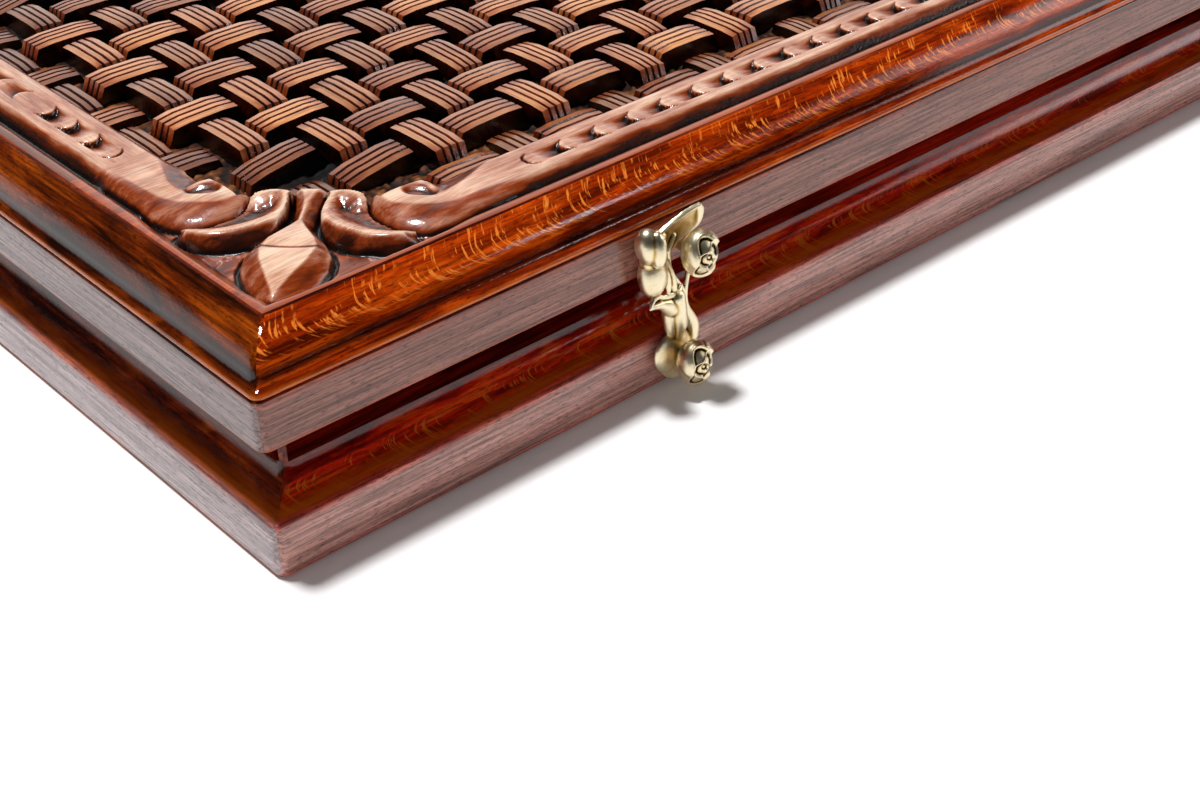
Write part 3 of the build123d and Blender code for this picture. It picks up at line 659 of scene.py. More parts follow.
print("the bud stands", round(float(bud_and_stem(np.array([29.0]), np.array([29.0]))[0][0]), 2),
      "mm above the table at its widest")

# %% [markdown]
# The scroll's flank and the petal's outer wall both fall from a crest to a foot, and both are
# convex, as a gouge held hollow side down leaves them. So each works out what share of the way from
# crest to foot a spot lies, and lets the height ease down by it.

# %% The scroll and the petal
recess_floor = 61.6


def ease(share, power=2.2, root=0.62):
    """A convex fall from 1 to 0 as share goes from 0 to 1."""
    return np.clip(1 - np.clip(share, 0, 1) ** power, 0, 1) ** root


def share_of_way(crest, foot):
    """0 on a crest and 1 at the foot, from the distance beyond the first and inside the second."""
    out = np.clip(crest, 0, None)
    return out / (out + np.clip(foot, 0, None) + 1e-6)


def scroll_form(far, near):
    """Height of the scroll, how pale it is, and how far inside its foot a spot is."""
    foot = inside_distance(far, near, scroll_foot)
    ribbon = ribbon_distance(far, near, scroll_ribbon)
    hollow = inside_distance(far, near, scroll_hollow)
    share = share_of_way(ribbon, foot)
    low = np.interp(far, [58, 70, 80], [61.2, recess_floor, 63.0])
    from_knob = np.hypot(far - 69.5, near - 35.0)
    dome = 0.9 * soft_step(from_knob, 3.0, 10.5) * (1 - soft_step(far, 74, 84))
    # Between the border and the knob the flank falls straight to the weave; elsewhere it swells.
    straight = soft_step(far, 72, 80) * soft_step(near, 28, 31)
    fall = ease(share) * (1 - straight) + (1 - share) * straight
    z = low + (border_top - low) * fall - dome - 1.15 * soft_step(hollow, -0.8, 1.8)
    # The ribbon's crest is paler, rubbed stain and painted highlight; the knob gets a painted
    # highlight; the foot, the straight flank and the hollow are darker, painted shade.
    rubbed_and_shade = 0.52 + 0.32 * (1 - soft_step(ribbon, -0.6, 0.7)) - 0.26 * soft_step(share, 0.78, 1.0)
    rubbed_and_shade = rubbed_and_shade - 0.14 * straight
    rubbed_and_shade += 0.2 * np.exp(-((far - 67) / 4.5) ** 2 - ((near - 38.5) / 4.0) ** 2)
    rubbed_and_shade -= 0.12 * np.exp(-((hollow - 0.4) / 0.9) ** 2) + 0.12 * soft_step(hollow, 0.2, 1.6)
    return z, rubbed_and_shade, foot


def petal_form(x, y, far, near):
    """Height of the petal, how pale it is, and how far inside its foot a spot is."""
    lip = ribbon_distance(far, near, petal_lip)
    foot = inside_distance(far, near, petal_foot)
    body = inside_distance(far, near, petal_body)
    top = 65.9 - 0.5 * soft_step(far, 54, 60) * (1 - soft_step(near, 24, 30))
    knife_marks = 0.12 * lumps(x, y, 1.8, 21) * soft_step(lip, 1, 3)
    bowl = top - 2.7 * soft_step(lip, -0.1, 7.0) + knife_marks
    share = share_of_way(lip, foot)
    wall = 61.0 + (top - 61.0) * ease(share, 1.5, 0.9)
    z = np.where(lip < 0, top, np.where(body > 0, bowl, wall))
    # Painted light: the lip is paler, a painted highlight; the bowl darkens as it deepens and the
    # outer wall towards its foot, painted shade.
    bowl_rub_shade = 0.72 - 0.34 * soft_step(lip, 0.0, 7.0) + 0.09 * lumps(x, y, 1.2, 31)
    wall_rub_shade = 0.6 - 0.36 * soft_step(share, 0.02, 0.35)
    rubbed_and_shade = np.where(lip < 0, 0.86, np.where(body > 0, bowl_rub_shade, wall_rub_shade))
    return z, rubbed_and_shade, foot


knob_z, _, knob_foot = scroll_form(np.array([67.0]), np.array([36.0]))
print("the scroll's knob stands", round(float(knob_z[0] - recess_floor), 1), "mm above its recess")

# %% [markdown]
# The corner puts them together from the bottom up, as one rule: the rim and recess, then the scroll
# and the petal wherever they stand, a moat at the foot of each, darkened with painted shade, and
# the bud on top. Towards its ends the rule turns into the straight border's own, so that the two
# meet without a step.

# %% Put one corner together
recess_edge = smooth_outline([(11, 9), (112, 7), (112, 36.8), (84, 36.8), (77, 41), (66, 44),
                              (59, 49), (53, 53), (47, 49)])
moat_floor = 60.8


def blend(first, second, share):
    """A mix of two (height, rubbed) pairs, all of the second where share is 1."""
    return tuple(a + (b - a) * share for a, b in zip(first, second))


def rim_and_recess(x, y, far, near):
    """The soft ridge beside the moulding, and behind it the recess, a few mm lower."""
    recess = recess_floor + 0.15 * lumps(x, y, 8, 5)
    ridge = 65.2 + 0.12 * np.exp(-((near - 12.6) / 0.9) ** 2)
    down = soft_step(near - 0.9 * np.exp(-((far - near) / 8.0) ** 2), 12.3, 18.0)
    # The ridge is painted a little paler than the recess, a painted highlight.
    rubbed_and_shade = np.interp(near, [board_edge, 12.6, 14.0, 16.5, 19], [0.52, 0.64, 0.62, 0.56, 0.48])
    return ridge + (recess - ridge) * down, rubbed_and_shade


def corner_form(x, y):
    """Height in mm of the carved corner at x, y mm from the case's corner, and how pale it is."""
    far, near = np.maximum(x, y), np.minimum(x, y)
    ground = chopped_ground(x, y, np.minimum(near - 37, 12))
    border = border_section(near)
    weave_side = soft_step(inside_distance(far, near, recess_edge), -1.2, 0.4)
    z, rubbed_and_shade = blend(ground, rim_and_recess(x, y, far, near), weave_side)
    # The border's own groove and slope fade in beyond the scroll.
    z, rubbed_and_shade = blend((z, rubbed_and_shade), border, soft_step(far, 62, 76) * (near < 19))
    scroll_z, scroll_rub_shade, scroll = scroll_form(far, near)
    here = (scroll > 0) & ((near < 36) | (scroll_z > z))
    z, rubbed_and_shade = np.where(here, scroll_z, z), np.where(here, scroll_rub_shade, rubbed_and_shade)
    petal_z, petal_rub_shade, petal = petal_form(x, y, far, near)
    here = (petal > 0) & (scroll < 0.0)
    z, rubbed_and_shade = np.where(here, petal_z, z), np.where(here, petal_rub_shade, rubbed_and_shade)
    # A moat follows the foot of each form, a little lower and darkened with painted shade.
    trough = np.exp(-((np.maximum(scroll, petal) + 0.25) / 0.5) ** 2)
    trough = trough * (1 - soft_step(near, 46, 54)) * (1 - soft_step(far, 72, 84))
    z = z - 0.6 * trough * ((scroll < 0) & (petal < 0))
    rubbed_and_shade = rubbed_and_shade * (1 - 0.95 * trough)
    bud_z, bud_rub_shade, edge = bud_and_stem(x, y)
    # Round the bud the moat is cut down and darkened with painted shade.
    moat = soft_step(edge, -1.2, -0.4) * (edge <= 0) * ((x + y) < 104)
    z = np.where(edge <= 0, z - np.clip(z - moat_floor, 0, None) * moat, z)
    rubbed_and_shade = np.where(edge <= 0, rubbed_and_shade * (1 - moat), rubbed_and_shade)
    z = np.where(edge > 0, moat_floor + (bud_z - moat_floor) * soft_step(edge, -0.25, 0.9), z)
    rubbed_and_shade = np.where(edge > 0, bud_rub_shade * soft_step(edge, 0.1, 1.0), rubbed_and_shade)
    return blend((z, rubbed_and_shade), border, soft_step(far, 88, 100))


sample_x, sample_y = np.meshgrid(np.linspace(12, 100, 45), np.linspace(12, 100, 45))
sample = corner_form(sample_x, sample_y)[0]
print("carved heights run from", round(float(sample.min()), 1), "to",
      round(float(sample.max()), 1), "mm")

# %% [markdown]
# A patch of the board is a grid primitive scaled to its place. The carving moves its points, loose
# fringe faces are taken off, and the rim of the patch is extruded down to the board's underside and
# filled, so that every patch is a closed solid. Its points also keep two values for the finish: how
# pale the spot is, the rule's value sharpened by how proud the spot stands of its neighbours, so
# that hollows get painted shade and proud spots a painted highlight; and "rim", which is 1 beside
# the rail, where the board wears the rail's own colour.

# %% Turn a rule into a solid piece of the board
def read_points(mesh, field="co"):
    """The places of a mesh's points, or another vector of theirs, as one row each."""
    values = np.zeros(len(mesh.vertices) * 3)
    mesh.vertices.foreach_get(field, values)
    return values.reshape(-1, 3)


def in_from_edge(x, y):
    """The two distances in mm of a spot from the case's nearest end and nearest side."""
    return np.minimum(x, case_length - x), np.minimum(y, case_width - y)


def carve_patch(name, x0, x1, y0, y1, step, rule, keep=None, flip_x=False, flip_y=False):
    """A carved solid between two corners in mm, its heights given by rule(x, y)."""
    nx, ny = round((x1 - x0) / step), round((y1 - y0) / step)
    bpy.ops.object.select_all(action="DESELECT")
    bpy.ops.mesh.primitive_grid_add(x_subdivisions=nx, y_subdivisions=ny, size=1)
    piece = bpy.context.object
    piece.name = name
    mesh = piece.data
    flat = read_points(mesh)
    x = x0 + (flat[:, 0] + 0.5) * (x1 - x0)
    y = y0 + (flat[:, 1] + 0.5) * (y1 - y0)
    z, rubbed_and_shade = rule(x.reshape(ny + 1, nx + 1), y.reshape(ny + 1, nx + 1))
    # Averaging heights with their neighbours' over about 1.2 mm shows which spots stand proud.
    around = z.copy()
    for _ in range(max(2, round((1.2 / step) ** 2 * 2))):
        padded = np.pad(around, 1, mode="edge")
        beside = padded[1:-1, :-2] + padded[1:-1, 2:] + padded[:-2, 1:-1] + padded[2:, 1:-1]
        around = (beside + 2 * around) / 6
    # Painted shade and highlight: sunken spots darker, proud spots paler.
    rubbed_and_shade = np.clip(rubbed_and_shade + (z - around) * 0.55, 0, 1)
    z = np.minimum(z, border_top)
    rim = np.interp(np.minimum(*in_from_edge(x, y)), [13.0, 15.5], [1.0, 0.0])
    real_x = case_length - x if flip_x else x
    real_y = case_width - y if flip_y else y
    coords = np.stack([(real_x - case_length / 2) * mm, (real_y - case_width / 2) * mm,
                       z.ravel() * mm], 1)
    mesh.vertices.foreach_set("co", coords.ravel())
    for label, values in (("rubbed_and_shade", rubbed_and_shade.ravel()), ("rim", rim)):
        layer = mesh.attributes.new(label, "FLOAT", "POINT")
        layer.data.foreach_set("value", values.astype(np.float32))
    shape = bmesh.new()
    shape.from_mesh(mesh)
    if keep is not None:
        centres = np.array([face.calc_center_median() for face in shape.faces]) / mm
        cx, cy = centres[:, 0] + case_length / 2, centres[:, 1] + case_width / 2
        cx = case_length - cx if flip_x else cx
        cy = case_width - cy if flip_y else cy
        unwanted = [face for face, wanted in zip(shape.faces, keep(cx, cy)) if not wanted]
        bmesh.ops.delete(shape, geom=unwanted, context="FACES")
    if flip_x != flip_y:
        bmesh.ops.reverse_faces(shape, faces=shape.faces)
    outline = [edge for edge in shape.edges if edge.is_boundary]
    skirt = bmesh.ops.extrude_edge_only(shape, edges=outline)["geom"]
    feet = {part for part in skirt if isinstance(part, bmesh.types.BMVert)}
    for foot in feet:
        foot.co.z = board_bottom * mm
    foot_edges = [part for part in skirt
                  if isinstance(part, bmesh.types.BMEdge) and all(v in feet for v in part.verts)]
    bmesh.ops.contextual_create(shape, geom=foot_edges)
    bmesh.ops.recalc_face_normals(shape, faces=shape.faces)
    shape.to_mesh(mesh)
    shape.free()
    bpy.context.view_layer.objects.active = piece
    bpy.ops.object.shade_smooth_by_angle(angle=math.radians(75))
    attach(piece, "lid")
    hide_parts("lid_carved_board")
    return piece


flower_reach = 64.0


def in_corner(x, y):
    """The part of its square that a corner patch covers: an L, and the flower inside its bend."""
    return (np.minimum(x, y) < weave_edge) | (np.maximum(x, y) < flower_reach)


fine = 0.38
carved = []
for name, flip_x, flip_y in (("front_left", False, False), ("front_right", True, False),
                             ("back_left", False, True), ("back_right", True, True)):
    corner = carve_patch(f"carved_corner_{name}", board_edge, corner_reach, board_edge,
                         corner_reach, fine, corner_form, in_corner, flip_x, flip_y)
    carved.append(corner)
print(corner.name, len(corner.data.polygons), "faces")

# %% [markdown]
# The straight borders between the corners come from the same section. The cuts run from both
# corners towards the middle of each side, as a carver works, and stop short of each other there.

# %% Carve the straight borders
def cut_border(u, d, starts):
    """Height of a straight border, u mm along it from the nearer corner, and how pale it is."""
    z, rubbed_and_shade = border_section(d)
    # Painted shade darkens the cuts and their scoops.
    depth, painted_dark = thumbnail_cuts(u, d, starts)
    return z - depth, rubbed_and_shade * (1 - painted_dark)


def long_border(x, y):
    """The front border; the chain of cuts starts from both ends."""
    return cut_border(np.minimum(x, case_length - x), y, long_starts)


def short_border(x, y):
    """The left border."""
    return cut_border(np.minimum(y, case_width - y), x, short_starts)


long_step = 0.42
for name, flip in (("front", False), ("back", True)):
    carved.append(carve_patch(f"carved_border_{name}", corner_reach, case_length - corner_reach,
                              board_edge, border_foot, long_step, long_border, flip_y=flip))
for name, flip in (("left", False), ("right", True)):
    carved.append(carve_patch(f"carved_border_{name}", board_edge, border_foot, corner_reach,
                              case_width - corner_reach, fine, short_border, flip_x=flip))
print("faces of the borders:", [len(piece.data.polygons) for piece in carved[-4:]])

# %% [markdown]
# Under the weave the chopped ground is one patch from border to border. It leaves out the corners'
# flowers, tucked a little under their edge. A coarser grid is enough for it, because little of it
# shows between the straps.

# %% Carve the ground under the weave
def ground_form(x, y):
    """Rough ground of the weave."""
    return chopped_ground(x, y, np.minimum(*in_from_edge(x, y)) - 38)


def off_the_flowers(x, y):
    """Where the ground isn't covered by a corner's flower."""
    from_end, from_side = in_from_edge(x, y)
    return (from_end >= flower_reach - 0.6) | (from_side >= flower_reach - 0.6)


ground = carve_patch("chopped_ground", weave_edge, case_length - weave_edge, weave_edge,
                     case_width - weave_edge, 1.2, ground_form,
                     off_the_flowers)
print(ground.name, len(ground.data.polygons), "faces")

# %% [markdown]
# A strap of the weave is a low arch with four ridges cut along it. It dives at both ends under the
# straps that cross it. Nearly four hundred are needed, so a model strap has only a few dozen faces,
# all spent where the eye sees them: on the ridges and at the steep ends. The paleness value sits on
# face corners here, so that a pale ridge can stand beside a black groove with no blur; the black
# grooves, dark side walls and darker ends are painted shade.

# %% The model straps
# Along a strap: the place as a share of its length, how far it drops in mm, and how pale it is,
# darker towards the ends, painted shade.
strap_stations, strap_drops, strap_wear_and_shade = zip(
    (-0.5, 6.9, 0.06), (-0.435, 4.3, 0.36), (-0.375, 0.62, 0.7), (-0.2, 0.05, 0.98),
    (0.2, 0.05, 0.98), (0.375, 0.62, 0.7), (0.435, 4.3, 0.36), (0.5, 6.9, 0.06))
groove_depth, edge_drop, strap_foot = 1.0, 0.3, 8.4


def model_strap(name, length, width, ridges=4):
    """One strap lying along X about the origin, sizes in mm, with its crown at height 0."""
    rows = []
    for number in range(ridges):
        left = -0.5 + number / ridges
        if number:
            rows.append((left, "groove"))
        rows += [(left + (0.2 if number else 0.0) / ridges, "ridge"),
                 (left + (0.8 if number < ridges - 1 else 1.0) / ridges, "ridge")]
    bpy.ops.object.select_all(action="DESELECT")
    bpy.ops.mesh.primitive_grid_add(x_subdivisions=len(strap_stations) - 1,
                                    y_subdivisions=len(rows) - 1, size=1)
    strap = bpy.context.object
    strap.name = name
    spots = {}
    in_order = sorted(strap.data.vertices, key=lambda v: (round(v.co.y, 5), round(v.co.x, 5)))
    for number, vertex in enumerate(in_order):
        row, column = divmod(number, len(strap_stations))
        spots[vertex.index] = (row, column)
        across, kind = rows[row]
        outermost = row in (0, len(rows) - 1)
        taper = 1.0 - 0.1 * abs(strap_stations[column] * 2) ** 3
        cut = groove_depth if kind == "groove" else edge_drop if outermost else 0.0
        vertex.co = (strap_stations[column] * length * mm, across * width * taper * mm,
                     -(strap_drops[column] + cut) * mm)
    bpy.ops.object.mode_set(mode="EDIT")
    bpy.ops.mesh.select_mode(type="EDGE")
    bpy.ops.mesh.select_all(action="DESELECT")
    shape = bmesh.from_edit_mesh(strap.data)
    for edge in shape.edges:
        edge.select_set(edge.is_boundary)
    bmesh.update_edit_mesh(strap.data)
    bpy.ops.mesh.extrude_edges_move(TRANSFORM_OT_translate={"value": (0, 0, -1 * mm)})
    bpy.ops.mesh.fill()
    bpy.ops.object.mode_set(mode="OBJECT")
    for vertex in strap.data.vertices[len(spots):]:
        vertex.co.z = -strap_foot * mm
    layer = strap.data.attributes.new("rubbed_and_shade", "FLOAT", "CORNER")
    # Painted shade: the grooves near black and the side walls dark; the ridges pale.
    for face in strap.data.polygons:
        kinds = [rows[spots[v][0]][1] if v in spots else "foot" for v in face.vertices]
        for loop, vertex, kind in zip(face.loop_indices, face.vertices, kinds):
            wear = strap_wear_and_shade[spots[vertex][1]] if vertex in spots else 0.0
            if "foot" in kinds:
                value = 0.22 * wear
            elif "groove" in kinds:
                value = 0.03 if kind == "groove" else 0.62 * wear
            else:
                value = wear
            layer.data[loop].value = value
    face_outwards(24)
    return strap


along_model = model_strap("strap_model_along", 27.4, 11.0)
across_model = model_strap("strap_model_across", 27.0, 9.6)
print("strap faces:", len(along_model.data.polygons), len(across_model.data.polygons))

# %% [markdown]
# The straps are laid out as a plain weave: at each crossing one direction is on top, and it
# alternates like a chessboard. Each copy is stretched and tipped a little differently, because each
# was carved by hand, and tinted a little differently, partly at random and partly as a painted
# reflection. The edge straps are lower, where the carver ran into the border; those nearest a
# corner's flower slope down towards it, and under the flower there are none.

# %% Lay out the weave
rng = random.Random(7)
# Nearer a corner than this, as the distances from end and side together, lie only stubs.
flower_line = 118.0
# The last crossing stands at least this far in from the far edges.
weave_margin = 28.0
weave_crown, highest_crown = 65.75, 65.95


def join(pieces, name):
    """Join pieces into the first of them, and name it."""
    bpy.ops.object.select_all(action="DESELECT")
    for piece in pieces:
        piece.select_set(True)
    bpy.context.view_layer.objects.active = pieces[0]
    bpy.ops.object.join()
    joined = bpy.context.object
    joined.name = name
    return joined


def crossings(parity):
    """The crossings where one direction lies on top: place, and its distances from the edges."""
    columns = int((case_length - column_start - weave_margin) / column_pitch) + 1
    rows = int((case_width - row_start - weave_margin) / row_pitch) + 1
    for column in range(columns):
        for row in range(rows):
            x, y = column_start + column * column_pitch, row_start + row * row_pitch
            from_end, from_side = min(x, case_length - x), min(y, case_width - y)
            if (column + row) % 2 == parity:
                yield x, y, min(from_end, from_side), from_end + from_side


def lay_straps(model, name, parity, along):
    """Copies of a strap wherever its direction lies on top, joined into one piece."""
    copies = []
    for x, y, nearest, from_corner in crossings(parity):
        stub = from_corner < flower_line and nearest > 50
        if from_corner < flower_line and not stub:
            continue
        lowered = 3.1 if nearest < 46 else 0.7 if nearest < 56 else 0.0
        droop, shorter = 0.0, 1.0
        if 126 < from_corner < 140 and nearest > 50 and along:
            droop, lowered = math.radians(9), 1.5
        if stub:
            lowered, shorter = 3.6, 0.6
        copy = bpy.data.objects.new(name, model.data.copy())
        bpy.context.scene.collection.objects.link(copy)
        lean = -droop if x < case_length / 2 else droop
        tip = Matrix.Rotation(lean + rng.gauss(0, 0.02), 4, "Y")
        tilt = tip @ Matrix.Rotation(rng.gauss(0, 0.028), 4, "X")
        spin = Matrix.Rotation((0 if along else math.pi / 2) + rng.gauss(0, 0.016), 4, "Z")
        stretch, widen = rng.uniform(0.985, 1.02) * shorter, rng.uniform(0.93, 1.04)
        crown = min(weave_crown - lowered + rng.gauss(0, 0.14), highest_crown)
        spot = place(x + rng.gauss(0, 0.3), y + rng.gauss(0, 0.3), crown)
        copy.data.transform(Matrix.Translation(spot) @ spin @ tilt
                            @ Matrix.Diagonal((stretch, widen, 1, 1)))
        # Each strap's tone differs at random, and to the right it is lighter, a painted reflection
        # that changes across the board. By the border and flowers the straps are darker.
        tone_and_sheen = 0.22 + rng.random() * 0.55 + 0.23 * min(max((x - y) / 200, 0), 1)
        dull = 0.2 if stub else 0.45 if nearest < 46 or droop else 0.6 if from_corner < 148 else 1.0
        tone = copy.data.attributes.new("tone", "FLOAT", "POINT")
        tone.data.foreach_set("value", np.full(len(copy.data.vertices), tone_and_sheen * dull, np.float32))
        copies.append(copy)
    joined = join(copies, name)
    points = read_points(joined.data)
    points[:, 2] = np.clip(points[:, 2], (board_bottom + 0.5) * mm, border_top * mm)
    joined.data.vertices.foreach_set("co", points.ravel())
    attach(joined, "lid")
    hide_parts("lid_carved_board")
    print(name, len(copies), "straps,", len(joined.data.polygons), "faces")
    return joined


straps_along = lay_straps(along_model, "straps_along", 1, True)
straps_across = lay_straps(across_model, "straps_across", 0, False)
bpy.data.objects.remove(along_model)
bpy.data.objects.remove(across_model)

# %% [markdown]
# The carving was stained dark, then the crests were rubbed back before the lacquer, and over that
# the crests are painted paler, a painted highlight, and the grooves nearly black, painted shade.
# The finish turns that paleness into colour through five steps of the same beech. Where the board
# meets the rail it takes the rail's colour, and no two straps took the stain alike, so each strap
# has a "tone" of its own, which also carries a painted reflection.

# %% The rubbed finish of the carving, with its painted shade
def rubbed_and_shade_carving(name, grain, shades, roughness=0.32, tones=None, rim_colour=None,
                   chisel=0.00012, coat=0.6):
    """Stained beech rubbed back on its crests, under lacquer, with painted shade; five shades,
    black to crest.

    Tones tint each strap by its own value, a rim colour takes over beside the rail, and chisel is
    the depth in metres of the tool's texture."""
    finish, tree, shader = new_finish(name)
    rubbed_and_shade = add_node(tree, "ShaderNodeAttribute", attribute_name="rubbed_and_shade")
    # The rag pressed unevenly: patches 16 by 4 mm were rubbed a little more or less.
    drift = grain_pattern(tree, grain, 16, 4, 0.2, Detail=4.0, Roughness=0.6)
    wander = add_node(tree, "ShaderNodeMapRange", {
        "Value": drift, "From Min": 0.3, "From Max": 0.7, "To Min": -0.2, "To Max": 0.16})
    level = add_node(tree, "ShaderNodeMath", {0: rubbed_and_shade.outputs["Fac"], 1: wander.outputs[0]},
                     operation="ADD", use_clamp=True)
    painted_dark, deep, middle, pale, crest = shades
    body = add_node(tree, "ShaderNodeValToRGB", {"Fac": level.outputs[0]}, stops=[
        (0.04, painted_dark), (1.0, crest), (0.28, deep), (0.52, middle), (0.76, pale)])
    colour = body.outputs["Color"]
    if tones:
        tone = add_node(tree, "ShaderNodeAttribute", attribute_name="tone")
        tint = add_node(tree, "ShaderNodeValToRGB", {"Fac": tone.outputs["Fac"]},
                        stops=[(0.0, tones[0]), (1.0, tones[3]), (0.3, tones[1]), (0.65, tones[2])])
        each = add_node(tree, "ShaderNodeMix", {0: 1.0, 6: colour, 7: tint.outputs["Color"]},
                        data_type="RGBA", blend_type="MULTIPLY")
        colour = each.outputs[2]
    if rim_colour:
        rim = add_node(tree, "ShaderNodeAttribute", attribute_name="rim")
        figure = grain_pattern(tree, grain, 60, 5, 0.0, Detail=4.0, Roughness=0.6)
        railing = add_node(tree, "ShaderNodeValToRGB", {"Fac": figure},
                           stops=[(0.3, rim_colour[0]), (0.7, rim_colour[1])])
        beside = add_node(tree, "ShaderNodeMix", {
            0: rim.outputs["Fac"], 6: colour, 7: railing.outputs["Color"]}, data_type="RGBA")
        colour = beside.outputs[2]
    # Streaks along the grain, 0.6 mm wide, run through every colour.
    streak = grain_pattern(tree, grain, 18, 0.6, 0.1, Detail=3.0)
    stroke = add_node(tree, "ShaderNodeMapRange", {
        "Value": streak, "From Min": 0.3, "From Max": 0.7, "To Min": 0.72, "To Max": 1.22})
    grained = add_node(tree, "ShaderNodeMix", {0: 1.0, 6: colour, 7: stroke.outputs[0]},
                       data_type="RGBA", blend_type="MULTIPLY")
    tree.links.new(grained.outputs[2], shader.inputs["Base Color"])
    # Chisel texture about 1 mm across, stronger where rag and sandpaper didn't reach.
    spot = add_node(tree, "ShaderNodeTexCoord")
    nicks = add_node(tree, "ShaderNodeTexNoise", {
        "Vector": spot.outputs["Object"], "Scale": 900.0, "Detail": 3.0, "Roughness": 0.65})
    depth = add_node(tree, "ShaderNodeMapRange", {
        "Value": level.outputs[0], "From Min": 0.1, "From Max": 0.6, "To Min": 1.0, "To Max": 0.22})
    chiselled = add_node(tree, "ShaderNodeBump", {
        "Strength": depth.outputs[0], "Distance": chisel, "Height": nicks.outputs["Fac"]})
    peel = grain_pattern(tree, grain, 1.5, 1.1, 0.4, Detail=2.0)
    skin = add_node(tree, "ShaderNodeBump", {
        "Strength": 0.6, "Distance": 0.00005, "Height": peel, "Normal": chiselled.outputs[0]})
    tree.links.new(skin.outputs[0], shader.inputs["Normal"])
    tree.links.new(skin.outputs[0], shader.inputs["Coat Normal"])
    shader.inputs["Roughness"].default_value = roughness
    shader.inputs["IOR"].default_value = 1.5
    shader.inputs["Coat Weight"].default_value = coat
    shader.inputs["Specular IOR Level"].default_value = 0.25
    shader.inputs["Coat Roughness"].default_value = 0.09
    return finish


# The darkest shades are painted shade for grooves and hollows; the pale pink crest shades carry a
# painted sheen.
border_shades = ["#0C0302", "#3E1203", "#9A3E10", "#D69678", "#FFD2B2"]
strap_shades = ["#060201", "#481404", "#9A4210", "#D08250", "#F8BC88"]
ground_shades = ["#040201", "#2A1006", "#6E3C1A", "#9A6438", "#C08C5C"]
border_finish = rubbed_and_shade_carving("rubbed_and_shade_border", "X", border_shades,
                               rim_colour=("#7A2806", "#D05C10"))
border_side_finish = rubbed_and_shade_carving("rubbed_and_shade_border_side", "Y", border_shades,
                                    rim_colour=("#4A1A05", "#964414"))
ground_finish = rubbed_and_shade_carving("chopped_ground_stain", "X", ground_shades, roughness=0.6,
                               chisel=0.0003, coat=0.1)
# The straps across are tinted greyer than those along: a painted reflection of the white room.
strap_along_finish = rubbed_and_shade_carving("rubbed_and_shade_straps_along", "X", strap_shades,
                                    tones=("#6A4436", "#BC9A8A", "#ECD2BA", "#FFF2C4"))
strap_across_finish = rubbed_and_shade_carving("rubbed_and_shade_straps_across", "Y", strap_shades,
                                     tones=("#64463C", "#A89490", "#D4C0B8", "#F4DABC"))
for piece in carved:
    side = piece.name.endswith("border_left") or piece.name.endswith("border_right")
    piece.data.materials.append(border_side_finish if side else border_finish)
ground.data.materials.append(ground_finish)
straps_along.data.materials.append(strap_along_finish)
straps_across.data.materials.append(strap_across_finish)
print("carving finishes:", [m.name for m in bpy.data.materials if "rubbed_and_shade" in m.name])

# %% [markdown]
# The clasp is a small casting: a leafy stem with an eye at its foot, a knob and a leaf at its head,
# and two studs with rosebud heads. Cast brass has no sharp edges and its forms melt into each
# other. So each hook is built from simple bodies placed where the photo shows them, fused by a
# voxel remesh, and smoothed, as if poured.

# %% Brass bodies to be fused
def brass_place(u, v, w, x):
    """A place on a clasp: u right and v up from its pivot, w out from the wood, in mm."""
    return Vector(((x - case_length / 2 + u) * mm, (-case_width / 2 - w) * mm,
                   (pivot_height + v) * mm))


def add_pebble(x, u, v, w, sizes, turn=0.0):
    """An ellipsoid body of the casting, half sizes along u, v and w, turned in the wood's plane."""
    bpy.ops.object.select_all(action="DESELECT")
    bpy.ops.mesh.primitive_uv_sphere_add(segments=32, ring_count=16, radius=1)
    body = bpy.context.object
    size = Matrix.Diagonal((sizes[0] * mm, sizes[2] * mm, sizes[1] * mm, 1))
    turned = Matrix.Translation(brass_place(u, v, w, x)) @ Matrix.Rotation(-turn, 4, "Y")
    body.data.transform(turned @ size)
    return body


def add_vine(x, path):
    """A tapering stem through (u, v, w, half width) places, as a chain of bodies along it."""
    return [add_pebble(x, u, v, w, (half, half, half * 0.8))
            for u, v, w, half in smooth_path(path, 6)]


def fuse(bodies, name, voxel, smooth_turns):
    """Join bodies, remesh them into one skin, and soften it."""
    cast = join(bodies, name)
    skin = cast.modifiers.new("one skin", "REMESH")
    skin.mode = "VOXEL"
    skin.voxel_size = voxel * mm
    bpy.ops.object.modifier_apply(modifier=skin.name)
    soft = cast.modifiers.new("soft casting", "SMOOTH")
    soft.factor = 0.5
    soft.iterations = smooth_turns
    bpy.ops.object.modifier_apply(modifier=soft.name)
    bpy.ops.object.shade_smooth()
    return cast


def mark_relief(piece, gain, broad_gain):
    """Store on each point how far it stands proud of its near and its wider neighbourhood."""
    mesh = piece.data
    co, normals = read_points(mesh), read_points(mesh, "normal")
    edges = np.zeros(len(mesh.edges) * 2, int)
    mesh.edges.foreach_get("vertices", edges)
    edges = edges.reshape(-1, 2)
    count = np.bincount(edges.ravel(), minlength=len(co))
    mean, proud = co.copy(), np.zeros(len(co))
    for turn in range(1, 31):
        total = [np.bincount(edges.ravel(), mean[edges[:, ::-1].ravel(), k], len(co))
                 for k in range(3)]
        mean = np.stack(total, 1) / np.maximum(count, 1)[:, None]
        if turn in (5, 30):
            proud += ((co - mean) * normals).sum(1) / mm * (gain if turn == 5 else broad_gain)
    layer = mesh.attributes.new("relief", "FLOAT", "POINT")
    layer.data.foreach_set("value", np.clip(0.5 + proud, 0, 1).astype(np.float32))


